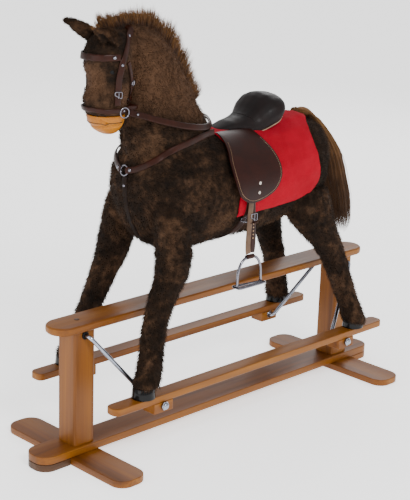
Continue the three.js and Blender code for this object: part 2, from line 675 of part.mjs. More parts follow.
// Half the horse's width at a place in x and z.
function flank(x, z) {
  const chest = trunk.frame(trunk.find(x));
  const crest = neck.frame(neck.find(z));
  const half = (offset, along, across) => across * Math.sqrt(Math.max(0, 1 - (offset / along) ** 2));
  return Math.max(
    half(z - chest.centre.z, chest.size.x, chest.size.y),
    half(x - crest.centre.x, crest.size.x, crest.size.y),
  );
}

horse.name = 'rocking_horse';
buildStand();
buildSwingRods();
buildRocker();
buildBody();
buildHeadPieces();
buildSaddle();
buildStirrups();
buildTack();

export default horse;
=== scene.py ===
import math

import bmesh
import bpy
import numpy as np
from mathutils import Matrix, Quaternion, Vector, noise
from mathutils.bvhtree import BVHTree


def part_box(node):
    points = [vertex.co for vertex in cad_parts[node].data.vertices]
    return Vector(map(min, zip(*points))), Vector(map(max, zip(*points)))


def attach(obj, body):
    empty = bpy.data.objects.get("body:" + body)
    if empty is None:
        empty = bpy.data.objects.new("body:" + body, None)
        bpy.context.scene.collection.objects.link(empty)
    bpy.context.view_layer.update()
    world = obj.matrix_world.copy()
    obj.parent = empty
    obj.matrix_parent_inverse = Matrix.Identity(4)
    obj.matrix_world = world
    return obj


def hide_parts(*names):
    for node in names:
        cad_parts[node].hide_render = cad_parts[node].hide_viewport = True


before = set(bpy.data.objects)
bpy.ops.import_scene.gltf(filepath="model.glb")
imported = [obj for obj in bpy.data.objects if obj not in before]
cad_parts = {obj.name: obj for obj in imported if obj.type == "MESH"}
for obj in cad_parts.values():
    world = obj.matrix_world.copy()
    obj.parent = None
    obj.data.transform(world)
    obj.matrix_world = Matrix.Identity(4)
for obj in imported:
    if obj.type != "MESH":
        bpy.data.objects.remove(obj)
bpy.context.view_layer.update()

# A plush-covered rocking horse on a wooden swing stand. Metres, in the part's frame:
# +X is forward, +Y is the horse's left, +Z is up, and the floor is z = 0.

SIDES = {"left": 1, "right": -1}
ENDS = {"front": 1, "rear": -1}
LEGS = [f"{end}_{side}" for end in ENDS for side in SIDES]
PILE = 0.004  # how far straps and cloth lie above the coat's skin
STRAP = {"width": 0.015, "thick": 0.003}
TRUNK = {"z": 0.608, "half_height": 0.136, "half_width": 0.126}
SEED = 11
random = np.random.default_rng(SEED)
noise.seed_set(SEED)  # without it, noise_vector takes its offsets from the clock


# ---------------------------------------------------------------- camera, light and floor
# The angles turn from +Y towards +X, and up from the floor.
CAMERA = {"azimuth": 45.028, "elevation": 16.765, "roll": 1.922, "distance": 3.450,
          "target": (0.0452, -0.0075, 0.4331), "lens": 97.87, "sensor": 36}


def make_camera():
    azimuth = math.radians(CAMERA["azimuth"])
    elevation = math.radians(CAMERA["elevation"])
    back = Vector((math.sin(azimuth) * math.cos(elevation),
                   math.cos(azimuth) * math.cos(elevation), math.sin(elevation)))
    data = bpy.data.cameras.new("camera")
    data.lens = CAMERA["lens"]
    data.sensor_width = CAMERA["sensor"]
    camera = bpy.data.objects.new("camera", data)
    bpy.context.scene.collection.objects.link(camera)
    camera.location = Vector(CAMERA["target"]) + back * CAMERA["distance"]
    camera.rotation_mode = "QUATERNION"
    level = (-back).to_track_quat("-Z", "Y")
    camera.rotation_quaternion = level @ Quaternion((0, 0, 1), math.radians(CAMERA["roll"]))
    bpy.context.scene.camera = camera


# The lamps' names, places, sizes and powers. They aim at the middle of the horse.
LAMPS = [("key", (1.2, 3.4, 3.0), 1.4, 105), ("fill", (3.8, 0.4, 1.4), 2.2, 35),
         ("back", (-3.0, -2.2, 2.6), 2.0, 45)]
STUDIO = {"world": 0.95, "floor_glow": 1.1, "floor_half": 30, "aim": (0, 0, 0.5)}


def area_light(name, place, size, power):
    data = bpy.data.lights.new(name, "AREA")
    data.shape = "DISK"
    data.size = size
    data.energy = power
    lamp = bpy.data.objects.new(name, data)
    bpy.context.scene.collection.objects.link(lamp)
    lamp.location = place
    aim = Vector(STUDIO["aim"]) - Vector(place)
    lamp.rotation_euler = aim.to_track_quat("-Z", "Y").to_euler()


def make_studio():
    world = bpy.data.worlds.new("studio")
    world.use_nodes = True
    background = world.node_tree.nodes["Background"]
    background.inputs["Color"].default_value = (1.0, 1.0, 1.0, 1)
    background.inputs["Strength"].default_value = STUDIO["world"]
    bpy.context.scene.world = world
    for lamp in LAMPS:
        area_light(*lamp)
    half = STUDIO["floor_half"]
    corners = [(-half, -half, 0), (half, -half, 0), (half, half, 0), (-half, half, 0)]
    floor = mesh_object("floor", corners, [(0, 1, 2, 3)], floor_material())


# ---------------------------------------------------------------- materials
def srgb(red, green, blue):
    linear = [c / 255 / 12.92 if c <= 10 else ((c / 255 + 0.055) / 1.055) ** 2.4
              for c in (red, green, blue)]
    return (*linear, 1)


def new_material(name, **sockets):
    made = bpy.data.materials.new(name)
    made.use_nodes = True
    shader = made.node_tree.nodes["Principled BSDF"]
    for socket, value in sockets.items():
        shader.inputs[socket.replace("_", " ")].default_value = value
    return made, made.node_tree, shader


def link(tree, source, target):
    tree.links.new(source, target)


def add_node(tree, kind, **sockets):
    """A shader node whose sockets are given as a value, or as the output that feeds them."""
    made = tree.nodes.new("ShaderNode" + kind)
    for name, value in sockets.items():
        socket = made.inputs[name.replace("_", " ")]
        if isinstance(value, bpy.types.NodeSocket):
            link(tree, value, socket)
        else:
            socket.default_value = value
    return made


def coordinates(tree, scale=(1, 1, 1), offset=(0, 0, 0)):
    place = add_node(tree, "TexCoord").outputs["Object"]
    return add_node(tree, "Mapping", Vector=place, Scale=scale, Location=offset).outputs["Vector"]


def noise_at(tree, vector, scale, detail=3, roughness=0.5, distortion=0.0):
    return add_node(tree, "TexNoise", Vector=vector, Scale=scale, Detail=detail, Roughness=roughness,
                Distortion=distortion).outputs["Fac"]


def tone_of(tree):
    """The shade that a mesh carries at each point."""
    made = add_node(tree, "Attribute")
    made.attribute_name = "tone"
    return made.outputs["Fac"]


def ramp(tree, factor, stops):
    made = add_node(tree, "ValToRGB", Fac=factor)
    elements = made.color_ramp.elements
    while len(elements) < len(stops):
        elements.new(0.5)
    for element, (position, colour) in zip(elements, stops):
        element.position = position
        element.color = colour
    return made.outputs["Color"]


def mix(tree, factor, first, second, blend="MIX"):
    made = add_node(tree, "Mix")
    made.data_type = "RGBA"
    made.blend_type = blend
    for value, socket in ((factor, made.inputs[0]), (first, made.inputs[6]), (second, made.inputs[7])):
        if isinstance(value, bpy.types.NodeSocket):
            link(tree, value, socket)
        else:
            socket.default_value = value
    return made.outputs[2]


def spread(tree, value, low, high):
    return add_node(tree, "MapRange", Value=value, To_Min=low, To_Max=high).outputs["Result"]


def ease(tree, value, start, stop, **ends):
    """A smooth step between two values."""
    made = add_node(tree, "MapRange", Value=value, From_Min=start, From_Max=stop, **ends)
    made.interpolation_type = "SMOOTHSTEP"
    return made.outputs["Result"]


def bump(tree, shader, height, strength, distance):
    made = add_node(tree, "Bump", Height=height, Strength=strength, Distance=distance)
    link(tree, made.outputs["Normal"], shader.inputs["Normal"])


def paint(tree, shader, colour, roughness=None):
    """Feeds the shader's colour and, if it varies, its roughness."""
    link(tree, colour, shader.inputs["Base Color"])
    if roughness:
        link(tree, roughness, shader.inputs["Roughness"])


def floor_material():
    made, tree, shader = new_material("floor", Roughness=0.9, Emission_Color=(1, 1, 1, 1),
                                      Emission_Strength=STUDIO["floor_glow"])
    speck = noise_at(tree, coordinates(tree), 3, 2)
    paint(tree, shader, ramp(tree, speck, [(0, srgb(250, 250, 250)), (1, srgb(254, 254, 254))]))
    return made


def upward(tree):
    """How far a face looks up: the boards' tops get painted shade that makes them darker than their
    sides.
    """
    facing = add_node(tree, "NewGeometry").outputs["Normal"]
    return ease(tree, add_node(tree, "SeparateXYZ", Vector=facing).outputs["Z"], 0.25, 0.85)


def wood(name, grain_axis, dark, mid, light, offset=(0, 0, 0)):
    """Varnished wood with its grain along one axis, and painted shade on its upward faces."""
    made, tree, shader = new_material(name, Coat_Weight=0.10, Coat_Roughness=0.22,
                                      Specular_IOR_Level=0.25)
    along = [0.9 if axis == grain_axis else 16 for axis in "xyz"]
    fine = [5 if axis == grain_axis else 260 for axis in "xyz"]
    figure = noise_at(tree, coordinates(tree, along, offset), 1.0, 4, 0.55, 0.7)
    fibre = noise_at(tree, coordinates(tree, fine, offset), 1.0, 3, 0.6)
    body = ramp(tree, figure, [(0.30, dark), (0.48, mid), (0.70, light)])
    streak = ramp(tree, fibre, [(0.30, (0.62, 0.58, 0.55, 1)), (0.62, (1, 1, 1, 1))])
    grained = mix(tree, 0.55, body, streak, "MULTIPLY")
    # Painted shade: faces that look up are multiplied darker and warmer than the sides.
    top_shaded = mix(tree, upward(tree), grained, (0.78, 0.74, 0.62, 1), "MULTIPLY")
    paint(tree, shader, top_shaded, spread(tree, fibre, 0.42, 0.60))
    bump(tree, shader, fibre, 0.12, 0.0004)
    return made


def chrome(name, dark, light):
    made, tree, shader = new_material(name, Metallic=1.0)
    smear = noise_at(tree, coordinates(tree), 45, 4, 0.6)
    paint(tree, shader, ramp(tree, smear, [(0.2, dark), (0.8, light)]), spread(tree, smear, 0.08, 0.26))
    return made


def gloss_black(name):
    made, tree, shader = new_material(name, Coat_Weight=0.08, Coat_Roughness=0.08,
                                      Specular_IOR_Level=0.15)
    haze = noise_at(tree, coordinates(tree), 60, 4, 0.6)
    colour = ramp(tree, haze, [(0.3, srgb(4, 4, 5)), (0.8, srgb(14, 13, 13))])
    paint(tree, shader, colour, spread(tree, haze, 0.10, 0.24))
    bump(tree, shader, haze, 0.08, 0.0006)
    return made


def black_plastic(name):
    made, tree, shader = new_material(name, Specular_IOR_Level=0.15)
    grain = noise_at(tree, coordinates(tree), 900, 2)
    colour = ramp(tree, grain, [(0.2, srgb(6, 6, 6)), (0.8, srgb(18, 18, 19))])
    paint(tree, shader, colour, spread(tree, grain, 0.4, 0.6))
    return made


def leather(name, dark, light, gloss):
    """Grained leather; gloss is its lowest roughness."""
    made, tree, shader = new_material(name, Coat_Weight=0.03, Coat_Roughness=0.2,
                                      Specular_IOR_Level=0.15)
    where = coordinates(tree)
    mottle = noise_at(tree, where, 30, 4, 0.6, 0.4)
    cells = add_node(tree, "TexVoronoi", Vector=where, Scale=620)
    cells.feature = "DISTANCE_TO_EDGE"
    paint(tree, shader, ramp(tree, mottle, [(0.25, dark), (0.75, light)]),
          spread(tree, mottle, gloss, gloss + 0.16))
    bump(tree, shader, cells.outputs["Distance"], 0.18, 0.0005)
    return made


def felt_material():
    made, tree, shader = new_material("felt", Roughness=1.0, Sheen_Weight=0.03, Sheen_Roughness=0.5,
                                      Specular_IOR_Level=0.08)
    where = coordinates(tree)
    cloud = noise_at(tree, where, 18, 4, 0.6)
    fibre = noise_at(tree, where, 900, 5, 0.75, 1.2)
    body = ramp(tree, cloud, [(0.25, srgb(138, 0, 22)), (0.75, srgb(158, 0, 30))])
    speckle = ramp(tree, fibre, [(0.3, (0.72, 0.72, 0.72, 1)), (0.6, (1, 1, 1, 1))])
    paint(tree, shader, mix(tree, 0.6, body, speckle, "MULTIPLY"))
    bump(tree, shader, fibre, 0.5, 0.0008)
    return made


# Where the pile is brushed flat and shows its even brown: (place, full within, gone beyond).
CALM_PLACES = [((0.235, 0.0, 0.925), 0.085, 0.165), ((0.175, 0.0, 0.850), 0.060, 0.120),
               ((0.372, 0.0, 0.868), 0.045, 0.068), ((0.445, 0.0, 0.900), 0.030, 0.052)]


def near_places(tree, where, places):
    """A mask that is 1 near any of the places."""
    total = None
    for centre, full, gone in places:
        apart = add_node(tree, "VectorMath")
        apart.operation = "DISTANCE"
        apart.inputs[1].default_value = centre
        link(tree, where, apart.inputs[0])
        fade = ease(tree, apart.outputs["Value"], full, gone, To_Min=1.0, To_Max=0.0)
        if total is None:
            total = fade
            continue
        larger = add_node(tree, "Math")
        larger.operation = "MAXIMUM"
        link(tree, total, larger.inputs[0])
        link(tree, fade, larger.inputs[1])
        total = larger.outputs["Value"]
    return total


def plush_material():
    """Short pile whose swirls lie light and dark. The neck and cheek are smoother and lighter."""
    made, tree, shader = new_material("plush", Roughness=0.9, Sheen_Weight=0.06, Sheen_Roughness=0.4,
                                      Sheen_Tint=srgb(150, 112, 84), Specular_IOR_Level=0.15)
    where = coordinates(tree)
    patch = noise_at(tree, where, 13, 3, 0.5)
    clump = noise_at(tree, where, 58, 3, 0.55)
    tuft = noise_at(tree, where, 240, 3, 0.6)
    both = mix(tree, 0.45, patch, clump)
    mottled = ramp(tree, both, [(0.36, srgb(17, 9, 3)), (0.50, srgb(40, 26, 15)),
                                (0.66, srgb(84, 60, 42))])
    even = ramp(tree, clump, [(0.3, srgb(70, 48, 32)), (0.7, srgb(90, 64, 45))])
    body = mix(tree, near_places(tree, where, CALM_PLACES), mottled, even)
    fleck = ramp(tree, tuft, [(0.30, (0.66, 0.64, 0.62, 1)), (0.62, (1, 1, 1, 1))])
    shade = mix(tree, 0.6, body, fleck, "MULTIPLY")
    lit = ramp(tree, tone_of(tree), [(0.0, (0.08, 0.08, 0.08, 1)), (0.2, (0.70, 0.70, 0.70, 1)),
                                     (1.0, (1.5, 1.45, 1.4, 1))])
    paint(tree, shader, mix(tree, 1.0, shade, lit, "MULTIPLY"))
    bump(tree, shader, tuft, 0.5, 0.002)
    return made


def hair_material(name, root, middle, tip):
    """Long pile. The strand's own attribute runs from its root to its tip."""
    made, tree, shader = new_material(name, Roughness=0.75, Sheen_Weight=0.05, Sheen_Roughness=0.4,
                                      Specular_IOR_Level=0.2)
    cloud = noise_at(tree, coordinates(tree), 26, 3, 0.6)
    body = ramp(tree, tone_of(tree), [(0.05, root), (0.45, middle), (0.95, tip)])
    shade = ramp(tree, cloud, [(0.3, (0.55, 0.5, 0.48, 1)), (0.7, (1.1, 1.05, 1.0, 1))])
    paint(tree, shader, mix(tree, 0.8, body, shade, "MULTIPLY"))
    return made


STAND = (srgb(80, 41, 2), srgb(120, 68, 4), srgb(144, 90, 12))
# Dark tones: the rail plugs' own wood, and painted shade on the front end block and in the mouth's
# groove.
DARK_WOOD_AND_SHADE = (srgb(44, 24, 10), srgb(66, 40, 18), srgb(84, 54, 28))
HONEY = (srgb(112, 57, 0), srgb(148, 84, 0), srgb(172, 108, 4))


# ---------------------------------------------------------------- mesh helpers
def mesh_object(name, points, faces, material, sharp_degrees=None):
    mesh = bpy.data.meshes.new(name)
    mesh.from_pydata([tuple(p) for p in points], [], [tuple(f) for f in faces])
    made = bpy.data.objects.new(name, mesh)
    bpy.context.scene.collection.objects.link(made)
    finish_mesh(mesh, sharp_degrees)
    if material:
        mesh.materials.append(material)
    return made


def finish_mesh(mesh, sharp_degrees=None):
    """Turns the faces outward and shades them smooth, apart from edges that are sharp enough."""
    sculpt = bmesh.new()
    sculpt.from_mesh(mesh)
    bmesh.ops.recalc_face_normals(sculpt, faces=sculpt.faces)
    sculpt.to_mesh(mesh)
    sculpt.free()
    mesh.polygons.foreach_set("use_smooth", [True] * len(mesh.polygons))
    if sharp_degrees:
        mesh.set_sharp_from_angle(angle=math.radians(sharp_degrees))
    mesh.update()


def place(piece, body, slot_name=None, nodes=()):
    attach(piece, body)
    if nodes:
        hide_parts(*nodes)
    return piece


def band_faces(rows, columns, base=0, closed=False):
    """Quads between rings of points; closed joins the last ring to the first."""
    faces = []
    for r in range(rows if closed else rows - 1):
        a, b = base + r * columns, base + (r + 1) % rows * columns
        faces += [(a + k, a + (k + 1) % columns, b + (k + 1) % columns, b + k) for k in range(columns)]
    return faces


def end_faces(rows, columns):
    """The two end faces of such a band."""
    return [tuple(range(columns))[::-1], tuple(range((rows - 1) * columns, rows * columns))]


def unit(vectors):
    return vectors / np.maximum(np.linalg.norm(vectors, axis=-1, keepdims=True), 1e-12)


def sample(path, share, marks=None):
    """Points of a path at shares of its way, which its own points mark evenly if no marks are given."""
    marks = np.linspace(0, 1, len(path)) if marks is None else marks
    return np.stack([np.interp(share, marks, path[:, k]) for k in range(3)], axis=-1)


def smooth_path(points, step=0.004):
    """A Catmull-Rom curve through points, cut into even steps."""
    p = np.array(points, float)
    padded = np.vstack([2 * p[0] - p[1], p, 2 * p[-1] - p[-2]])
    fine = []
    for a, b, c, d in zip(padded, padded[1:], padded[2:], padded[3:]):
        for t in np.linspace(0, 1, 24, endpoint=False):
            fine.append(0.5 * (2 * b + (c - a) * t + (2 * a - 5 * b + 4 * c - d) * t ** 2
                               + (3 * b - a - 3 * c + d) * t ** 3))
    fine = np.array([*fine, p[-1]])
    length = np.concatenate([[0], np.cumsum(np.linalg.norm(np.diff(fine, axis=0), axis=1))])
    even = np.linspace(0, length[-1], max(3, int(round(length[-1] / step)) + 1))
    return sample(fine, even, length)


def sweep(name, path, outline, material, outward=None, closed=False):
    """A solid with one outline, given as (across, out) pairs, carried along a path."""
    p = np.array(path, float)
    count = len(p)
    ahead = np.roll(p, -1, 0) if closed else np.vstack([p[1:], 2 * p[-1] - p[-2]])
    behind = np.roll(p, 1, 0) if closed else np.vstack([2 * p[0] - p[1], p[:-1]])
    along = unit(ahead - behind)
    if outward is None:
        seed = np.array([0, 0, 1.0]) if abs(along[0][2]) < 0.9 else np.array([1.0, 0, 0])
        out = []
        for direction in along:
            seed = seed - direction * (seed @ direction)
            seed = seed / np.linalg.norm(seed)
            out.append(seed)
        out = np.array(out)
    else:
        out = np.array(outward, float)
        out = unit(out - along * np.sum(out * along, axis=1, keepdims=True))
    across = np.cross(along, out)
    ring = np.array(outline, float)
    points = (p[:, None] + across[:, None] * ring[None, :, :1] + out[:, None] * ring[None, :, 1:])
    around = len(ring)
    faces = band_faces(count, around, closed=closed)
    if not closed:
        faces += [tuple(range(around)), tuple(range((count - 1) * around, count * around))[::-1]]
    return mesh_object(name, points.reshape(-1, 3), faces, material, sharp_degrees=50)


def round_outline(radius, sides=16):
    return [(radius * math.cos(2 * math.pi * k / sides), radius * math.sin(2 * math.pi * k / sides))
            for k in range(sides)]


def strap_outline(width, thick, edge=0.0009):
    """A flat strap's section: rounded by wear at its edges, and slightly crowned."""
    w, t = width / 2, thick / 2
    crown = thick * 0.12
    return [(-w, -t + edge), (-w + edge, -t), (w - edge, -t), (w, -t + edge), (w, t - edge),
            (w - edge, t), (w * 0.5, t + crown * 0.7), (0, t + crown), (-w * 0.5, t + crown * 0.7),
            (-w + edge, t), (-w, t - edge)]


def lathe(name, profile, centre, axis, material, segments=40):
    """A solid of revolution; profile is (radius, along) pairs, starting and ending on the axis."""
    direction = Vector(axis).normalized()
    turn = Vector((0, 0, 1)).rotation_difference(direction)
    points = [turn @ Vector((0, 0, profile[0][1]))]
    for radius, height in profile[1:-1]:
        points += [turn @ Vector((x, y, height)) for x, y in round_outline(radius, segments)]
    points.append(turn @ Vector((0, 0, profile[-1][1])))
    points = [Vector(centre) + p for p in points]
    rows = len(profile) - 2
    faces = [(0, 1 + (k + 1) % segments, 1 + k) for k in range(segments)]
    faces += band_faces(rows, segments, 1)
    last = 1 + (rows - 1) * segments
    faces += [(last + k, last + (k + 1) % segments, len(points) - 1) for k in range(segments)]
    return mesh_object(name, points, faces, material, sharp_degrees=45)


def bevelled(name, points, faces, material, edge):
    """A hard solid with every sharp edge eased."""
    made = mesh_object(name, points, faces, material)
    sculpt = bmesh.new()
    sculpt.from_mesh(made.data)
    hard = [e for e in sculpt.edges
            if len(e.link_faces) == 2 and e.calc_face_angle() > math.radians(35)]
    bmesh.ops.bevel(sculpt, geom=hard, offset=edge, segments=3, profile=0.6, affect="EDGES")
    sculpt.to_mesh(made.data)
    sculpt.free()
    finish_mesh(made.data, sharp_degrees=32)
    return made


def board(name, node, corner, edge, material, ends=("x-", "x+")):
    """A flat board over a CAD board, with round corners at the ends named."""
    low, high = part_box(node)
    turns = 14
    outline = []
    corners = [(high.x, high.y, 0, "x+"), (low.x, high.y, 90, "x-"), (low.x, low.y, 180, "x-"),
               (high.x, low.y, 270, "x+")]
    for x, y, start, end in corners:
        radius = min(corner, (high.y - low.y) / 2 - 1e-4, (high.x - low.x) / 2 - 1e-4)
        if end not in ends:
            outline.append((x, y))
            continue
        cx = x - math.copysign(radius, x - (low.x + high.x) / 2)
        cy = y - math.copysign(radius, y - (low.y + high.y) / 2)
        for k in range(turns + 1):
            angle = math.radians(start + 90 * k / turns)
            outline.append((cx + radius * math.cos(angle), cy + radius * math.sin(angle)))
    count = len(outline)
    points = [(x, y, z) for z in (low.z, high.z) for x, y in outline]
    return bevelled(name, points, end_faces(2, count) + band_faces(2, count), material, edge)


def eased_cad(node, material, edge):
    """A CAD node that is shown as it is, with its sharp edges eased by modifiers."""
    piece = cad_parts[node]
    piece.data.materials.clear()
    piece.data.materials.append(material)
    weld = piece.modifiers.new("weld", "WELD")
    weld.merge_threshold = 1e-5
    ease = piece.modifiers.new("ease", "BEVEL")
    ease.width = edge
    ease.segments = 2
    ease.limit_method = "ANGLE"
    ease.angle_limit = math.radians(40)
    ease.harden_normals = False
    return piece


# ---------------------------------------------------------------- stand
def build_stand():
    rail = wood("bottom_rail_wood", "x", *STAND)
    made = board("bottom_rail_board", "bottom_rail", 0.034, 0.003, rail)
    place(made, "stand", "stand_wood", ["bottom_rail"])
    top = wood("top_rail_wood", "x", *STAND, offset=(3, 1, 0))
    place(board("top_rail_board", "top_rail", 0.041, 0.008, top), "stand", "stand_wood", ["top_rail"])
    for end, sign in ENDS.items():
        foot = wood(f"{end}_foot_wood", "y", *STAND, offset=(sign, 2, 0))
        made = board(f"{end}_foot_board", f"{end}_foot", 0.034, 0.003, foot)
        place(made, "stand", "stand_wood", [f"{end}_foot"])
        # Only the front end block is given the dark tones, as painted shade on the front end of the
        # stand.
        tones = DARK_WOOD_AND_SHADE if end == "front" else STAND
        block = wood(f"{end}_block_wood", "x", *tones, offset=(0, sign, 4))
        made = board(f"{end}_end_board", f"{end}_end_block", 0.034, 0.0025, block,
                     ends=("x+",) if sign > 0 else ("x-",))
        place(made, "stand", "stand_wood", [f"{end}_end_block"])
        eased_cad(f"{end}_pillar", wood(f"{end}_pillar_wood", "z", *STAND, offset=(2, sign, 1)), 0.0012)
        place(bush(end), "stand", "bush_plastic", [f"{end}_bush"])
        profile = [(0, 0), (0.0062, 0), (0.0066, 0.0004), (0.006, 0.0009), (0, 0.0011)]
        plug = lathe(f"{end}_rail_plug", profile, (sign * 0.470, 0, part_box("top_rail")[1].z - 0.0002),
                     (0, 0, 1), wood(f"{end}_plug_wood", "y", *DARK_WOOD_AND_SHADE, offset=(5, sign, 0)))
        place(plug, "stand", "stand_wood")
        for side, way in SIDES.items():
            at = (sign * 0.474, way * 0.026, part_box("bottom_rail")[1].z)
            place(screw_head(f"{end}_{side}_foot_screw", at), "stand", "chrome")


def screw_head(name, centre):
    profile = [(0, 0), (0.0045, 0), (0.0048, 0.0004), (0.0038, 0.0012), (0.0012, 0.0014),
               (0, 0.0007)]
    return lathe(name, profile, centre, (0, 0, 1), CHROME, 24)


def bush(end):
    low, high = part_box(f"{end}_bush")
    inner, sleeve, flange, thick = 0.0053, 0.008, 0.0095, 0.003
    half = high.y
    lip = 0.0006
    lower = [(inner, -half), (flange - lip, -half), (flange, -half + lip), (flange, -half + thick),
             (sleeve, -half + thick)]
    profile = lower + [(radius, -along) for radius, along in lower[::-1]]
    centre = ((low.x + high.x) / 2, 0, (low.z + high.z) / 2)
    return ring_solid(f"{end}_bush_sleeve", profile, centre, (0, 1, 0), BLACK)


def ring_solid(name, profile, centre, axis, material, segments=32):
    """A closed ring: profile is a loop of (radius, along) pairs that stays off the axis."""
    turn = Vector((0, 0, 1)).rotation_difference(Vector(axis).normalized())
    points = [Vector(centre) + turn @ Vector((r * x, r * y, h))
              for x, y in round_outline(1, segments) for r, h in profile]
    faces = band_faces(segments, len(profile), closed=True)
    return mesh_object(name, points, faces, material, sharp_degrees=40)


# ---------------------------------------------------------------- swing rods and runners
# The rod's pin in the pillar, its pins in the hangers, and how far out in y it bends and ends.
ROD = {"radius": 0.005, "top_x": 0.470, "top_z": 0.314, "shoulder": 0.050, "low_x": 0.336,
       "low_z": 0.144, "elbow": 0.1075, "tip": 0.171, "bend": 0.012, "nut": 0.164, "washer": 0.1195}


def rounded_corners(points, radius):
    """The points of a bent wire: every corner becomes a curve."""
    steps = 7
    p = [np.array(q, float) for q in points]
    path = [p[0]]
    for before, corner, after in zip(p, p[1:], p[2:]):
        start = corner + (before - corner) / np.linalg.norm(before - corner) * radius
        stop = corner + (after - corner) / np.linalg.norm(after - corner) * radius
        for k in range(steps + 1):
            t = k / steps
            path.append((1 - t) ** 2 * start + 2 * t * (1 - t) * corner + t ** 2 * stop)
    return [*path, p[-1]]


def build_rods():
    for end, sign in ENDS.items():
        corners = []
        for way in (-1, 1):
            half = [(sign * ROD["low_x"], way * ROD["tip"], ROD["low_z"]),
                    (sign * ROD["low_x"], way * ROD["elbow"], ROD["low_z"]),
                    (sign * ROD["top_x"], way * ROD["shoulder"], ROD["top_z"])]
            corners += half if way < 0 else half[::-1]
        path = rounded_corners(corners, ROD["bend"])
        wire = sweep(f"{end}_rod", path, round_outline(ROD["radius"], 20), CHROME)
        place(wire, f"{end}_rod", "chrome", [f"{end}_swing_rod"])
        for side, way in SIDES.items():
            x, z = sign * ROD["low_x"], ROD["low_z"]
            nut = dome_nut(f"{end}_{side}_nut", (x, way * ROD["nut"], z), (0, way, 0))
            place(nut, f"{end}_rod", "chrome", [f"{end}_{side}_dome_nut"])
            inner = washer(f"{end}_{side}_washer", (x, way * ROD["washer"], z), (0, way, 0))
            place(inner, f"{end}_rod", "chrome")


def dome_nut(name, centre, axis):
    """A hexagon at its base, turned to a dome."""
    sides, flat, corner, segments = 6, 0.0098, 0.0109, 48
    dome, base, rise = 0.0086, 0.0056, 0.0062
    turn = Vector((0, 0, 1)).rotation_difference(Vector(axis))
    points = []
    for radius, height in [(flat * 0.94, 0.0), (flat, 0.0008), (flat, 0.0052)]:
        for k in range(segments):
            angle = 2 * math.pi * k / segments
            wedge = (angle % (2 * math.pi / sides)) - math.pi / sides
            reach = min(radius / math.cos(wedge), corner)
            points.append((reach * math.cos(angle), reach * math.sin(angle), height))
    for lift in np.linspace(0, 0.94, 9):
        angle_up = lift * math.pi / 2
        points += [(x, y, base + rise * math.sin(angle_up))
                   for x, y in round_outline(dome * math.cos(angle_up), segments)]
    count = len(points) // segments
    faces = band_faces(count, segments) + end_faces(count, segments)
    points = [Vector(centre) + turn @ Vector(p) for p in points]
    return mesh_object(name, points, faces, CHROME, sharp_degrees=35)


def washer(name, centre, axis):
    profile = [(0.0053, -0.0008), (0.0096, -0.0008), (0.0100, -0.0004), (0.0100, 0.0004),
               (0.0096, 0.0008), (0.0053, 0.0008)]
    return ring_solid(name, profile, centre, axis, CHROME)


def build_runners():
    for side, way in SIDES.items():
        grain = wood(f"{side}_runner_wood", "x", *STAND, offset=(way * 3, 0, 7))
        made = board(f"{side}_runner_board", f"{side}_runner", 0.016, 0.003, grain)
        place(made, "rocker", "rocker_wood", [f"{side}_runner"])
        for end, sign in ENDS.items():
            block = wood(f"{end}_{side}_hanger_wood", "x", *STAND, offset=(sign, way, 9))
            eased_cad(f"{end}_{side}_hanger", block, 0.0015)


# ---------------------------------------------------------------- the plush coat
COAT_NODES = ["body", "head", *[f"{leg}_leg" for leg in LEGS]]
COAT = {"voxel": 0.0045, "smoothing": 70, "lump_scale": 42, "lump_height": 0.0011, "tone": 0.28}
SEAL = 0.0022  # the solids swell by this, so that the gaps between them close


def cad_mesh(name, nodes, grow=0.0):
    """CAD nodes as one mesh, with their split corners merged, grown along their normals."""
    points, faces = [], []
    for cad in nodes:
        sculpt = bmesh.new()
        sculpt.from_mesh(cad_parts[cad].data)
        bmesh.ops.remove_doubles(sculpt, verts=sculpt.verts, dist=1e-5)
        bmesh.ops.recalc_face_normals(sculpt, faces=sculpt.faces)
        sculpt.normal_update()
        base = len(points)
        points += [v.co + v.normal * grow for v in sculpt.verts]
        faces += [[base + v.index for v in f.verts] for f in sculpt.faces]
        sculpt.free()
    return mesh_object(name, points, faces, None)


def voxel_remesh(piece, size):
    change = piece.modifiers.new("remesh", "REMESH")
    change.mode = "VOXEL"
    change.voxel_size = size
    graph = bpy.context.evaluated_depsgraph_get()
    made = bpy.data.meshes.new_from_object(piece.evaluated_get(graph))
    piece.modifiers.clear()
    piece.data = made
    return piece


def vertices_of(mesh, what="co"):
    flat = np.zeros(len(mesh.vertices) * 3)
    mesh.vertices.foreach_get(what, flat)
    return flat.reshape(-1, 3)


def normals_of(mesh):
    return vertices_of(mesh, "normal")


def set_tone(mesh, values):
    tone = mesh.attributes.new("tone", "FLOAT", "POINT")
    tone.data.foreach_set("value", values.astype(np.float32))


def soften(piece, material):
    """Gives a remeshed piece its material and smooth shading."""
    piece.data.polygons.foreach_set("use_smooth", [True] * len(piece.data.polygons))
    piece.data.materials.append(material)


def set_vertices(mesh, points):
    mesh.vertices.foreach_set("co", points.astype(np.float32).ravel())
    mesh.update()


def edges_of(mesh):
    flat = np.zeros(len(mesh.edges) * 2, int)
    mesh.edges.foreach_get("vertices", flat)
    return flat.reshape(-1, 2)


def neighbour_average(points, edges):
    count = np.bincount(edges.ravel(), minlength=len(points))
    total = np.stack([np.bincount(edges[:, 0], points[edges[:, 1], k], len(points))
                      + np.bincount(edges[:, 1], points[edges[:, 0], k], len(points))
                      for k in range(3)], axis=1)
    return total / np.maximum(count, 1)[:, None]


def taubin(points, edges, rounds):
    """Smooths away facets and creases, and keeps the volume."""
    for _ in range(rounds):
        for step in (0.5, -0.53):
            points = points + step * (neighbour_average(points, edges) - points)
    return points


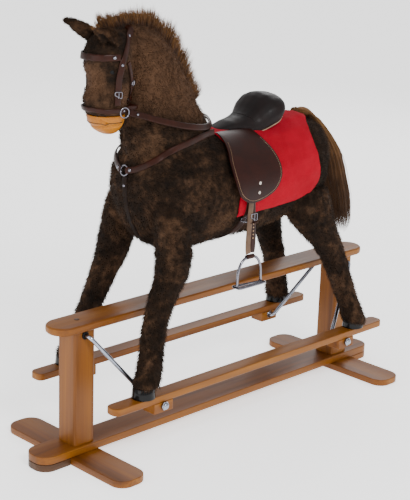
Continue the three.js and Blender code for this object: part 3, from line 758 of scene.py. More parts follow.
# Places where the stuffing swells or draws in: (centre, reach, how far along the skin's normal).
# Those off the middle line are made on both sides.
SWELLS = [
    ((0.300, 0.060, 0.620), 0.055, 0.006),  # breast
    ((-0.255, 0.105, 0.545), 0.070, 0.008),  # thigh
    ((0.372, 0.048, 0.905), 0.032, 0.006),  # cheek
    ((0.412, 0.036, 0.930), 0.016, -0.004),  # eye socket
    ((0.432, 0.026, 0.866), 0.020, 0.005),  # nostril
    ((0.432, 0.020, 0.900), 0.020, -0.004),  # bridge of the nose
]


def swell(points, normals):
    for (x, y, z), reach, amount in SWELLS:
        for way in (1, -1):
            offset = points - np.array([x, way * y, z])
            weight = np.exp(-np.sum(offset ** 2, axis=1) / (2 * reach ** 2))
            points = points + normals * (weight * amount)[:, None]
    return points


def build_coat():
    coat = voxel_remesh(cad_mesh("plush_coat", COAT_NODES, SEAL), COAT["voxel"])
    mesh = coat.data
    edges = edges_of(mesh)
    co = taubin(vertices_of(mesh), edges, COAT["smoothing"])
    set_vertices(mesh, co)
    co = swell(co - normals_of(mesh) * SEAL, normals_of(mesh))
    set_vertices(mesh, co)
    lumps = np.array([noise.fractal(Vector(p) * COAT["lump_scale"], 0.9, 2.0, 3) for p in co])
    set_vertices(mesh, co + normals_of(mesh) * (lumps * COAT["lump_height"])[:, None])
    set_tone(mesh, np.full(len(co), COAT["tone"]))
    soften(coat, PLUSH)
    return place(coat, "rocker", "plush", COAT_NODES)


def surface_tree(*pieces):
    points, faces = [], []
    for piece in pieces:
        base = len(points)
        points += [piece.matrix_world @ v.co for v in piece.data.vertices]
        faces += [[base + i for i in f.vertices] for f in piece.data.polygons]
    return BVHTree.FromPolygons(points, faces)


def lay(tree, points, lift, rounds=12, snap=True):
    """Draws a strap's path taut over a surface. It returns the path and its outward directions.
    With snap off, a guide that is already clear of the surface stays where it is."""
    p = np.array(points, float)
    out = np.zeros_like(p)
    lifts = np.broadcast_to(lift, len(p))
    for turn in range(rounds + 1):
        if turn:
            pull = 0.5 * (p[:-2] + p[2:]) - p[1:-1]
            p[1:-1] += out[1:-1] * np.sum(pull * out[1:-1], axis=1, keepdims=True) * 0.8
        for i, q in enumerate(p):
            near, normal, _, _ = tree.find_nearest(Vector(q))
            height = (Vector(q) - near).dot(normal)
            if height < lifts[i] or (snap and turn == 0):
                p[i] = near + normal * lifts[i]
            if turn == 0:
                out[i] = normal
        if turn == 0:
            for _ in range(10):
                out[1:-1] = unit(0.5 * out[1:-1] + 0.25 * (out[:-2] + out[2:]))
    for _ in range(3):
        p[1:-1] = 0.5 * p[1:-1] + 0.25 * (p[:-2] + p[2:])
    return p, out


# ---------------------------------------------------------------- fur and hair
def hair_object(name, points, faces, tone, material):
    """Many triangles made at once from arrays."""
    mesh = bpy.data.meshes.new(name)
    mesh.vertices.add(len(points))
    mesh.vertices.foreach_set("co", points.astype(np.float32).ravel())
    mesh.loops.add(faces.size)
    mesh.loops.foreach_set("vertex_index", faces.astype(np.int32).ravel())
    mesh.polygons.add(len(faces))
    mesh.polygons.foreach_set("loop_start", np.arange(0, faces.size, 3, dtype=np.int32))
    mesh.polygons.foreach_set("use_smooth", np.ones(len(faces), bool))
    mesh.update(calc_edges=True)
    set_tone(mesh, tone)
    mesh.materials.append(material)
    made = bpy.data.objects.new(name, mesh)
    bpy.context.scene.collection.objects.link(made)
    return made


def spikes(name, roots, tips, width, tone, material, normals):
    """Short fur: one slender closed spike for each tuft."""
    count = len(roots)
    along = unit(tips - roots)
    side = unit(np.cross(along, normals))
    other = np.cross(side, along)
    base = [roots + width[:, None] * (math.cos(a) * side + math.sin(a) * 0.6 * other)
            for a in (0.5, 2.6, 4.7)]
    points = np.stack([*base, tips], axis=1).reshape(-1, 3)
    first = np.arange(count)[:, None] * 4
    faces = np.concatenate([first + np.array(f) for f in ((0, 1, 3), (1, 2, 3), (2, 0, 3), (0, 2, 1))])
    # The base carries about a third of the tip's tone, so the plush material paints each spike darker
    # at its root and lighter at its tip: painted shade down in the pile and painted light on the tips.
    value = np.stack([tone * 0.35] * 3 + [tone], axis=1).ravel()
    return hair_object(name, points, faces, value, material)


def scatter(mesh, count):
    """Points spread evenly over a surface, with their normals."""
    mesh.calc_loop_triangles()
    corners = np.array([t.vertices for t in mesh.loop_triangles])
    co = vertices_of(mesh)
    a, b, c = (co[corners[:, k]] for k in range(3))
    cross = np.cross(b - a, c - a)
    area = np.linalg.norm(cross, axis=1)
    pick = random.choice(len(area), count, p=area / area.sum())
    u, v = random.random((2, count))
    over = u + v > 1
    u[over], v[over] = 1 - u[over], 1 - v[over]
    points = a[pick] + u[:, None] * (b - a)[pick] + v[:, None] * (c - a)[pick]
    return points, unit(cross[pick])


def lie_of_fur(points):
    """Which way the pile lies: back along the body and down the legs and neck, in swirls."""
    flow = np.tile([-0.55, 0.0, -0.55], (len(points), 1))
    flow[points[:, 2] < 0.48] = [-0.1, 0.0, -1.0]
    swirl = np.array([noise.noise_vector(Vector(p) * 17) for p in points])
    return flow + swirl * 1.1


# How many tufts grow on the coat and on each ear, and how long and wide they are.
FUR = {"count": 88000, "quick": 15000, "ear": 2600, "ear_quick": 600, "clear_of_covers": 0.0075,
       "length": (0.008, 0.0135), "width": (0.0008, 0.0014), "on_face": 0.6, "sunk": 0.0012}


def build_fur(coat, covers):
    points, normals = scatter(coat.data, FUR["count"])
    reach = FUR["clear_of_covers"]
    keep = np.array([covers.find_nearest(Vector(p), reach)[0] is None for p in points])
    points, normals = points[keep], normals[keep]
    flow = lie_of_fur(points)
    flow = unit(flow - normals * np.sum(flow * normals, axis=1, keepdims=True))
    count = len(points)
    length = random.uniform(*FUR["length"], count)
    on_face = (points[:, 0] > 0.33) & (points[:, 2] > 0.82)
    length[on_face] *= FUR["on_face"]
    lean = unit(flow + normals * random.uniform(0.25, 0.75, (count, 1))
                + random.normal(0, 0.16, (count, 3)))
    tips = points + lean * length[:, None]
    roots = points - normals * FUR["sunk"]
    width = random.uniform(*FUR["width"], count)
    tone = random.uniform(0.25, 1.0, count)
    regions = {"leg_fur": points[:, 2] < 0.46, "head_fur": on_face}
    regions["body_fur"] = ~(regions["leg_fur"] | regions["head_fur"])
    for name, chosen in regions.items():
        fur = spikes(name, roots[chosen], tips[chosen], width[chosen], tone[chosen], PLUSH,
                     normals[chosen])
        place(fur, "rocker", "plush")


def strands(name, paths, width, tone, material):
    """Long hair: each strand is a closed three-sided taper along its path."""
    count, steps, _ = paths.shape
    along = unit(np.gradient(paths, axis=1))
    side = unit(np.cross(along, random.normal(0, 1, (count, 1, 3))))
    other = np.cross(side, along)
    t = np.linspace(0, 1, steps)
    taper = (width[:, None] * (1 - t ** 2.2 * 0.97)[None, :])[..., None]
    rings = [paths + taper * (math.cos(a) * side + math.sin(a) * other) for a in (0, 2.094, 4.189)]
    points = np.stack(rings, axis=2).reshape(-1, 3)
    faces = []
    for k in range(steps - 1):
        for i in range(3):
            n = (i + 1) % 3
            faces.append((k * 3 + i, k * 3 + n, (k + 1) * 3 + n))
            faces.append((k * 3 + i, (k + 1) * 3 + n, (k + 1) * 3 + i))
    last = (steps - 1) * 3
    faces += [(0, 2, 1), (last, last + 1, last + 2)]
    faces = (np.arange(count)[:, None, None] * steps * 3 + np.array(faces)[None]).reshape(-1, 3)
    value = np.repeat(t[None, :] * tone[:, None], 3, axis=1).ravel()
    return hair_object(name, points, faces, value, material)


# The mane's root and its outer edge, side by side, from the forehead to the withers: (x, z) pairs.
MANE = [((0.408, 0.998), (0.432, 1.026)), ((0.392, 1.010), (0.412, 1.052)),
        ((0.366, 1.018), (0.380, 1.052)), ((0.338, 1.020), (0.346, 1.060)),
        ((0.300, 1.014), (0.300, 1.066)), ((0.262, 1.000), (0.250, 1.058)),
        ((0.224, 0.974), (0.200, 1.032)), ((0.192, 0.936), (0.160, 0.988)),
        ((0.168, 0.896), (0.131, 0.946)), ((0.148, 0.858), (0.109, 0.898)),
        ((0.120, 0.822), (0.080, 0.848))]


# The hairs start sunk below the root line, by a share of the mane's height, and fan out in y.
MANE_HAIRS = {"count": 5200, "steps": 5, "half_width": 0.0075, "fan": 0.003, "sunk": 0.30,
              "width": (0.0006, 0.0011)}


def build_mane():
    root = smooth_path([(x, 0, z) for (x, z), _ in MANE], 0.002)
    edge = smooth_path([(x, 0, z) for _, (x, z) in MANE], 0.002)
    count = MANE_HAIRS["count"]
    t = random.uniform(0, 1, count)
    low, high = sample(root, t), sample(edge, np.clip(t + random.normal(0, 0.008, count), 0, 1))
    thick = random.uniform(-1, 1, count)
    tuft = np.array([noise.noise(Vector((u * 95, 0.3, 0))) for u in t])
    reach = random.uniform(0.70, 1.02, count) * (1 - 0.10 * np.abs(thick)) * (1.0 + 0.34 * tuft)
    share = np.linspace(0, 1, MANE_HAIRS["steps"])
    rise, sunk = high - low, MANE_HAIRS["sunk"]
    paths = (low[:, None] - rise[:, None] * sunk
             + rise[:, None] * ((1 + sunk) * reach)[:, None, None] * share[None, :, None])
    paths[:, :, 1] += thick[:, None] * (MANE_HAIRS["half_width"] + MANE_HAIRS["fan"] * share[None, :])
    paths += random.normal(0, 0.0011, paths.shape) * share[None, :, None]
    fringe = strands("mane_hair", paths, random.uniform(*MANE_HAIRS["width"], count),
                     random.uniform(0.55, 1.0, count), MANE_HAIR)
    place(fringe, "rocker", "hair")
    levels = np.linspace(0, 1, 400)[::4]
    inner, outer = sample(root, levels), sample(edge, levels)
    outline = [(-0.0055, -0.022), (0.0055, -0.022), (0.0045, 0.010), (0, 0.014), (-0.0045, 0.010)]
    core = sweep("mane_base", inner + (outer - inner) * 0.30, outline, MANE_HAIR, unit(outer - inner))
    return place(core, "rocker", "hair", ["mane"])


# The tail's middle line, (x, z), and how far along it the bundle has which radius.
TAIL = [(-0.256, 0.750), (-0.274, 0.757), (-0.298, 0.752), (-0.322, 0.734), (-0.346, 0.706),
        (-0.374, 0.670), (-0.405, 0.618), (-0.436, 0.534), (-0.462, 0.452), (-0.477, 0.408),
        (-0.482, 0.392)]
TAIL_FULL = [(0, 0.010), (0.08, 0.024), (0.25, 0.036), (0.45, 0.041), (0.75, 0.042), (0.92, 0.032),
             (1.0, 0.014)]
TAIL_CORE = [(0, 0.006), (0.10, 0.013), (0.30, 0.020), (0.75, 0.023), (0.86, 0.006)]
TAIL_HAIRS = {"count": 2600, "steps": 12, "width": (0.0008, 0.0014)}


def build_tail():
    steps, count = TAIL_HAIRS["steps"], TAIL_HAIRS["count"]
    line = smooth_path([(x, 0, z) for x, z in TAIL], 0.004)
    share = np.linspace(0, 1, steps)
    angle = random.uniform(0, 2 * math.pi, count)
    radius = np.sqrt(random.uniform(0.05, 1, count))
    reach = random.uniform(0.72, 1.0, count)
    start = random.uniform(0, 0.22, count)
    t = start[:, None] + (reach - start)[:, None] * share[None, :]
    wobble = random.normal(0, 0.05, (count, 1)) * share[None, :]
    offset = np.interp(t, *zip(*TAIL_FULL)) * radius[:, None]
    paths = sample(line, t)
    paths[..., 1] += offset * np.cos(angle[:, None] + wobble) * 1.15
    paths[..., 0] += offset * np.sin(angle[:, None] + wobble) * 0.8
    paths[..., 2] += offset * np.sin(angle[:, None] + wobble) * 0.5 * (1 - 0.8 * t)
    drift = np.cumsum(random.normal(0, 0.0006, (count, steps, 3)), axis=1)
    paths += drift - drift[:, :1]
    lowest, soft = 0.3815, 0.004  # above the top rail at the back of the swing
    z = paths[..., 2]
    paths[..., 2] = np.where(z < lowest + soft, lowest + soft * np.exp((z - lowest - soft) / soft), z)
    hair = strands("tail_hair", paths, random.uniform(*TAIL_HAIRS["width"], count),
                   random.uniform(0.5, 1.0, count), TAIL_HAIR)
    place(hair, "rocker", "hair")
    levels = np.linspace(0, 0.86, 40)
    core = tapered("tail_core", sample(line, levels), np.interp(levels, *zip(*TAIL_CORE)), TAIL_HAIR)
    return place(core, "rocker", "hair", ["tail"])


def tapered(name, line, radii, material):
    """A round solid whose radius changes along its line."""
    sides = 14
    made = sweep(name, line, round_outline(1, sides), material)
    co = vertices_of(made.data).reshape(len(line), sides, 3)
    centre = np.array(line)[:, None]
    set_vertices(made.data, (centre + (co - centre) * np.array(radii)[:, None, None]).reshape(-1, 3))
    return made


# ---------------------------------------------------------------- hooves, muzzle, ears and eyes
HOOF = {"x": 0.384, "y": 0.143, "bottom": 0.029, "top": 0.0255, "height": 0.027}


def build_hooves():
    for end, sign in ENDS.items():
        for side, way in SIDES.items():
            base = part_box(f"{end}_{side}_hoof")[0].z
            rim, top, h = HOOF["bottom"], HOOF["top"], HOOF["height"]
            profile = [(0, 0), (rim - 0.0016, 0), (rim - 0.0004, 0.0005), (rim, 0.0018),
                       (rim - 0.0004, 0.004), (rim - 0.0012, h * 0.45), (top + 0.0006, h - 0.0016),
                       (top - 0.0006, h - 0.0003), (top - 0.003, h), (0, h)]
            hoof = lathe(f"{end}_{side}_hoof_cap", profile, (sign * HOOF["x"], way * HOOF["y"], base),
                         (0, 0, 1), HOOF_BLACK, 56)
            place(hoof, "rocker", "hoof_gloss", [f"{end}_{side}_hoof"])


# The muzzle's level sections, from its tip up: (z, middle x, half length, half width).
MUZZLE = [(0.7775, 0.381, 0.004, 0.004), (0.7785, 0.3812, 0.013, 0.014),
          (0.783, 0.3825, 0.0225, 0.0235), (0.790, 0.385, 0.031, 0.031),
          (0.799, 0.3868, 0.0375, 0.038), (0.810, 0.388, 0.0425, 0.0432),
          (0.819, 0.389, 0.0438, 0.0447), (0.8245, 0.389, 0.0436, 0.0446),
          (0.8255, 0.389, 0.042, 0.043)]
# The mouth: its height, the x where that holds, and how much it rises for each metre back from there.
MOUTH = {"z": 0.7985, "x": 0.430, "slope": 0.10, "depth": 0.0052}


def build_muzzle():
    rows, around = 46, 96
    level, key = np.linspace(0, 1, rows), np.linspace(0, 1, len(MUZZLE))
    zs, xs, ls, ws = (np.interp(level, key, v)[:, None] for v in np.array(MUZZLE).T)
    angle = 2 * np.pi * np.arange(around) / around
    points = np.stack([xs + ls * np.cos(angle), ws * np.sin(angle), np.repeat(zs, around, 1)],
                      axis=-1).reshape(-1, 3)
    faces = band_faces(rows, around) + end_faces(rows, around)
    muzzle = mesh_object("muzzle_block", points, faces, MUZZLE_WOOD, sharp_degrees=60)
    co = vertices_of(muzzle.data)
    grooves = mouth_and_nostrils(co) * MOUTH["depth"]
    set_vertices(muzzle.data, co - normals_of(muzzle.data) * grooves[:, None])
    paint_mouth_shadow(surface_tree(muzzle))
    return place(muzzle, "rocker", "muzzle_wood", ["muzzle"])


def paint_mouth_shadow(tree):
    """A dark line of painted shadow in the bottom of the mouth's groove."""
    line = []
    for angle in np.radians(np.linspace(-112, 112, 45)):
        aim = Vector((0.386 + 0.06 * math.cos(angle), 0.06 * math.sin(angle), MOUTH["z"]))
        aim.z += (MOUTH["x"] - (0.386 + 0.040 * math.cos(angle))) * MOUTH["slope"]
        near, normal, _, _ = tree.find_nearest(aim)
        line.append(tuple(near + normal * 0.0002))
    # Painted shadow: a thin dark tube laid just above the bottom of the groove.
    line = sweep("mouth_shadow_line", smooth_path(line, 0.003), round_outline(0.0010, 8), MOUTH_SHADOW_WOOD)
    place(line, "rocker", "muzzle_wood")


def mouth_and_nostrils(co):
    """How deep the carving is at each point, from 0 to 1."""
    off_line = co[:, 2] - MOUTH["z"] - (MOUTH["x"] - co[:, 0]) * MOUTH["slope"]
    mouth = np.exp(-(off_line / 0.0020) ** 2) * (co[:, 0] > 0.372)
    nostrils = np.zeros(len(co))
    for way in (1, -1):
        start, stop = np.array([0.424, way * 0.024, 0.818]), np.array([0.410, way * 0.036, 0.806])
        span = stop - start
        share = np.clip((co - start) @ span / (span @ span), 0, 1)
        gap = np.linalg.norm(co - (start + share[:, None] * span), axis=1)
        nostrils = np.maximum(nostrils, np.exp(-(gap / 0.0024) ** 2))
    return np.maximum(mouth, nostrils)


# The left ear droops. The hollow runs between two shares of the ear's length.
EAR = {"droop": {"left": 0.013, "right": 0.0}, "hollow_width": 0.0105, "start": 0.05, "stop": 0.93,
       "depth": 1.3, "tone": 0.42}


def build_ears():
    """Thick plush cups: the CAD ears, hollowed on the side that faces down and forward, with painted
    shade in the hollow.
    """
    for side, way in SIDES.items():
        droop = EAR["droop"][side]
        base = np.array([0.388, way * 0.034, 0.984])
        reach = np.array([0.471 - droop, way * 0.047, 1.040 - droop]) - base
        along = unit(reach)
        opening = np.array([0.50, way * 0.35, -0.80])
        opening = unit(opening - along * (opening @ along))
        across = np.cross(along, opening)
        ear = voxel_remesh(cad_mesh(f"{side}_ear_plush", [f"{side}_ear"]), 0.0018)
        co = taubin(vertices_of(ear.data), edges_of(ear.data), 20)

        def hollow_at(points):
            share = (points - base) @ reach / (reach @ reach)
            sideways = (points - base) @ across
            ends = (np.clip((share - EAR["start"]) / 0.2, 0, 1)
                    * np.clip((EAR["stop"] - share) / 0.2, 0, 1))
            return np.exp(-(sideways / EAR["hollow_width"]) ** 2) * ends

        front = np.maximum((co - base) @ opening, 0)
        hollow = hollow_at(co) * np.clip(front / 0.004, 0, 1)
        set_vertices(ear.data, co - opening * (hollow * front * EAR["depth"])[:, None])
        soften(ear, PLUSH)
        # Painted shade: the hollow's tone falls to nothing, and the plush material paints it near
        # black.
        set_tone(ear.data, EAR["tone"] * (1 - hollow))
        place(ear, "rocker", "plush", [f"{side}_ear"])
        points, normals = scatter(ear.data, FUR["ear"])
        inside = (hollow_at(points) > 0.35) & (normals @ opening > 0.2)
        points, normals = points[~inside], normals[~inside]
        count = len(points)
        lean = unit(along + normals * random.uniform(0.3, 0.8, (count, 1))
                    + random.normal(0, 0.2, (count, 3)))
        tips = points + lean * random.uniform(0.004, 0.0075, (count, 1))
        width = random.uniform(0.0007, 0.0012, count)
        fur = spikes(f"{side}_ear_fur", points - normals * 0.001, tips, width,
                     random.uniform(0.3, 1.0, count), PLUSH, normals)
        place(fur, "rocker", "plush")


def build_eyes(tree):
    for side, way in SIDES.items():
        near, normal, _, _ = tree.find_nearest(Vector((0.418, way * 0.060, 0.926)))
        profile = [(0, -0.006), (0.0054, -0.0050), (0.0062, -0.003), (0.0056, -0.0006),
                   (0.0040, 0.0010), (0.0020, 0.0018), (0, 0.0020)]
        eye = lathe(f"{side}_eye", profile, near, normal, EYE)
        place(eye, "rocker")


# ---------------------------------------------------------------- blanket
# The blanket's rear edge is given as how far down its side, from the spine to the hem, and x there.
BLANKET = {"front": 0.067, "hem_angle": 113, "thick": 0.003, "corner": 0.030, "side_length": 0.262,
           "rear": [(0.0, -0.286), (0.10, -0.272), (0.20, -0.249), (0.35, -0.226), (0.505, -0.221),
                    (0.76, -0.229), (1.0, -0.234)]}


def blanket_rear(level):
    """Where the rear edge is in x, with the hem's corner rounded."""
    depth, rear = np.array(BLANKET["rear"]).T
    near = [np.interp(np.clip(level + step, 0, 1), depth, rear)
            for step in (-0.05, -0.025, 0, 0.025, 0.05)]
    radius = BLANKET["corner"]
    short = radius - min(radius, (1 - level) * BLANKET["side_length"])
    return float(np.mean(near)) + radius - math.sqrt(radius ** 2 - short ** 2)


def keep_outside(points, tree):
    """Moves points of a grid that have sunk under a surface back onto it."""
    for q in points.reshape(-1, 3):
        near, normal, _, _ = tree.find_nearest(Vector(q))
        if (Vector(q) - near).dot(normal) < 0:
            q[:] = near


def build_blanket(coat_tree):
    rows, columns = 161, 72
    across = np.linspace(-1, 1, rows)
    inner = np.zeros((rows, columns, 3))
    for r, t in enumerate(across):
        x_rear = blanket_rear(abs(t))
        for c, s in enumerate(np.linspace(0, 1, columns)):
            x = BLANKET["front"] + (x_rear - BLANKET["front"]) * s
            rise = 4 * s + 5 * max(0.0, (s - 0.75) / 0.25) ** 2  # the hem rises towards the rear
            hem = math.radians(BLANKET["hem_angle"] - rise)
            angle = hem * t
            ray = Vector((0, math.sin(angle) * TRUNK["half_width"],
                          math.cos(angle) * TRUNK["half_height"])).normalized()
            climb = 0.025 * max(0.0, (-0.2 - x) / 0.1)  # the trunk's middle line climbs to the rump
            axis = Vector((x, 0, TRUNK["z"] + climb))
            hit, _, _, _ = coat_tree.ray_cast(axis + ray * 0.30, -ray)
            oval = 1 / math.hypot(ray.y / TRUNK["half_width"], ray.z / TRUNK["half_height"])
            away = (hit - axis).length if hit else oval
            inner[r, c] = axis + ray * min(away, oval * 1.08)
    edges = (inner[:, 0], inner[:, -1], inner[0], inner[-1])
    for turn in range(40):
        inner[1:-1, 1:-1] = 0.5 * inner[1:-1, 1:-1] + 0.125 * (
            inner[2:, 1:-1] + inner[:-2, 1:-1] + inner[1:-1, 2:] + inner[1:-1, :-2])
        for edge in edges:
            edge[1:-1] = 0.5 * edge[1:-1] + 0.25 * (edge[2:] + edge[:-2])
        if turn % 10 == 9:
            keep_outside(inner, coat_tree)
    du, dv = np.gradient(inner, axis=0), np.gradient(inner, axis=1)
    normal = unit(np.cross(dv, du))
    if normal[rows // 2, columns // 2, 2] < 0:
        normal = -normal
    low = inner + normal * PILE
    high = low + normal * BLANKET["thick"]
    return place(slab("felt_blanket", low, high, FELT), "rocker", "felt", ["blanket"])


def slab(name, low, high, material):
    """A closed sheet between two grids of points, with its rim rounded off."""
    rows, columns, _ = low.shape
    middle = (low + high) / 2
    rim = [(0, c) for c in range(columns)] + [(r, columns - 1) for r in range(1, rows)]
    rim += [(rows - 1, c) for c in range(columns - 2, -1, -1)]
    rim += [(r, 0) for r in range(rows - 2, 0, -1)]
    points = np.concatenate([low.reshape(-1, 3), high.reshape(-1, 3)])
    half = rows * columns
    faces = []
    for r in range(rows - 1):
        for c in range(columns - 1):
            a = r * columns + c
            quad = (a, a + 1, a + columns + 1, a + columns)
            faces += [quad, tuple(half + corner for corner in quad[::-1])]
    rounded = []
    for r, c in rim:
        inward = np.clip((r, c), 1, (rows - 2, columns - 2))
        away = middle[r, c] - middle[tuple(inward)]
        away = away / max(np.linalg.norm(away), 1e-9)
        rounded.append(middle[r, c] + away * np.linalg.norm(high[r, c] - low[r, c]) * 0.35)
    points = np.concatenate([points, np.array(rounded)])
    for i, (r, c) in enumerate(rim):
        n = (i + 1) % len(rim)
        r2, c2 = rim[n]
        a, b = r * columns + c, r2 * columns + c2
        m1, m2 = 2 * half + i, 2 * half + n
        faces += [(a, m1, m2, b), (m1, half + a, half + b, m2)]
    return mesh_object(name, points, faces, material, sharp_degrees=50)


# ---------------------------------------------------------------- saddle
SEAT = {"voxel": 0.004, "smoothing": 25, "cap": 0.003, "pressure": 3.0}


def build_seat():
    seat = voxel_remesh(cad_mesh("saddle_pad", ["saddle_seat"]), SEAT["voxel"])
    set_vertices(seat.data, taubin(vertices_of(seat.data), edges_of(seat.data), SEAT["smoothing"]))
    puff(seat, SEAT["cap"], SEAT["pressure"])
    soften(seat, SADDLE)
    place(seat, "rocker", "saddle_leather", ["saddle_seat"])
    return seat


def puff(piece, cap, pressure):
    """Blows a pad up as stuffed leather, and keeps each point within a cap of where it began."""
    before = vertices_of(piece.data)
    cloth = piece.modifiers.new("cloth", "CLOTH")
    cloth.settings.use_pressure = True
    cloth.settings.uniform_pressure_force = pressure
    cloth.settings.effector_weights.gravity = 0
    cloth.settings.tension_stiffness = 25
    cloth.settings.bending_stiffness = 8
    scene = bpy.context.scene
    for step in range(1, 21):
        scene.frame_set(step)
    graph = bpy.context.evaluated_depsgraph_get()
    after = vertices_of(piece.evaluated_get(graph).data)
    piece.modifiers.clear()
    scene.frame_set(1)
    move = after - before
    size = np.linalg.norm(move, axis=1, keepdims=True)
    move = move * np.minimum(1, cap / np.maximum(size, 1e-9))
    set_vertices(piece.data, before + move)
    set_vertices(piece.data, taubin(vertices_of(piece.data), edges_of(piece.data), 4))


# The welt under the cantle, from the flap round the back: one half.
WELT = [(-0.062, 0.046, 0.730), (-0.090, 0.055, 0.740), (-0.110, 0.062, 0.748),
        (-0.132, 0.066, 0.757), (-0.151, 0.059, 0.770), (-0.166, 0.039, 0.781),
        (-0.174, 0.0, 0.788)]


def seat_trim(seat):
    """The welt round the cantle, and the seam across the seat in front of it."""
    tree = surface_tree(seat)
    half = [(x, -y, z) for x, y, z in WELT]
    path, _ = lay(tree, smooth_path([*half, *WELT[-2::-1]], 0.004), 0.0006, 2)
    place(sweep("cantle_welt", path, round_outline(0.0018, 8), PIPING), "rocker", "saddle_leather")
    dropped = []
    for t in np.linspace(-0.93, 0.93, 25):
        above = Vector((-0.052 - 0.016 * t * t, 0.050 * t, 0.90))
        hit, _, _, _ = tree.ray_cast(above, Vector((0, 0, -1)))
        if hit:
            dropped.append(tuple(hit))
    line = sweep("seat_seam", smooth_path(dropped, 0.004), round_outline(0.0008, 6), SADDLE)
    place(line, "rocker", "saddle_leather")


FLAP_OUTLINE = [(0.064, 0.7465), (0.072, 0.733), (0.085, 0.711), (0.095, 0.690), (0.096, 0.656),
                (0.085, 0.615), (0.062, 0.595), (0.036, 0.5865), (0.0, 0.591), (-0.040, 0.607),
                (-0.064, 0.634), (-0.071, 0.660), (-0.066, 0.694), (-0.054, 0.724), (-0.046, 0.7465)]
FLAP = {"lift_up": 0.006, "lift_out": 0.0175, "thick": 0.0032}


def flap_side(z, extra=0.0):
    """How far out the flap lies at a height."""
    high = TRUNK["half_height"] + FLAP["lift_up"] + extra
    wide = TRUNK["half_width"] + FLAP["lift_out"] + extra
    return wide * math.sqrt(max(0.02, 1 - ((z - TRUNK["z"]) / high) ** 2))


def build_flaps():
    outline = smooth_path([(x, 0, z) for x, z in FLAP_OUTLINE], 0.004)
    middle = np.array([0.012, 0, 0.668])
    rings = 16
    for side, way in SIDES.items():
        low, high = [], []
        for r in range(rings + 1):
            share = r / rings
            ring = middle + (outline - middle) * share
            edge_drop = 0.0011 * max(0.0, share - 0.9) * 10
            low.append([(p[0], way * flap_side(p[2]), p[2]) for p in ring])
            high.append([(p[0], way * flap_side(p[2], FLAP["thick"] - edge_drop), p[2]) for p in ring])
        low, high = np.array(low), np.array(high)
        count = len(outline)
        points = np.concatenate([low[1:].reshape(-1, 3), high[1:].reshape(-1, 3), low[:1, 0],
                                 high[:1, 0]])
        half = rings * count
        faces = []
        for base, hub in ((0, 2 * half), (half, 2 * half + 1)):
            faces += [(base + k, base + (k + 1) % count, hub) for k in range(count)]
            faces += band_faces(rings, count, base)
        rim = (rings - 1) * count
        faces += [(rim + k, rim + (k + 1) % count, half + rim + (k + 1) % count, half + rim + k)
                  for k in range(count)]
        flap = mesh_object(f"{side}_saddle_flap", points, faces, FLAP_LEATHER, sharp_degrees=50)
        place(flap, "rocker", "tack_leather", [f"{side}_flap"])
        for number, (x, z) in enumerate([(0.014, 0.634), (0.018, 0.611)]):
            profile = [(0, -0.0004), (0.0036, -0.0004), (0.0042, 0.0003), (0.0034, 0.0008),
                       (0.002, 0.0005), (0, 0.0003)]
            centre = (x, way * flap_side(z, FLAP["thick"]), z)
            slot = lathe(f"{side}_flap_slot_{number}", profile, centre, (0, way, 0.1), PALE_METAL, 24)
            place(slot, "rocker", "chrome")
        seam = outline[3:-3] + (middle - outline[3:-3]) * 0.075
        seam = [(x, way * flap_side(z, FLAP["thick"] + 0.0003), z) for x, _, z in seam]
        stitches(f"{side}_flap_stitching", seam, (0, way, 0))


STITCH = {"pitch": 0.0045, "length": 0.0030, "half_width": 0.00055, "half_height": 0.00042}


def stitches(name, path, outward):
    """A row of sewn stitches: short rounded threads along a path, as one piece."""
    line = smooth_path(path, STITCH["pitch"])
    out = np.array(outward, float)
    points, faces = [], []
    for start, stop in zip(line[:-1], line[1:]):
        along = unit(stop - start)
        side = np.cross(along, out)
        middle = (start + stop) / 2
        base = len(points)
        for share, girth in ((-0.5, 0.3), (-0.25, 0.9), (0.25, 0.9), (0.5, 0.3)):
            for a in (0, 1.571, 3.142, 4.712):
                spoke = (side * math.cos(a) * STITCH["half_width"]
                         + out * math.sin(a) * STITCH["half_height"]) * girth
                points.append(middle + along * share * STITCH["length"] + spoke)
        faces += band_faces(4, 4, base)
        faces += [(base + 3, base + 2, base + 1, base), (base + 12, base + 13, base + 14, base + 15)]
    return place(mesh_object(name, points, faces, THREAD), "rocker", "tack_leather")


# ---------------------------------------------------------------- stirrups
LEATHER_STRAP = {"x": 0.031, "y": 0.1356, "top": 0.631, "bottom": 0.4555}
CORNERS = ((-1, -1), (1, -1), (1, 1), (-1, 1), (-1, -1))  # once round a rectangle
IRON = {"top": 0.4515, "foot": 0.375, "half_width": 0.042, "wire": 0.0034, "tread_depth": 0.026}


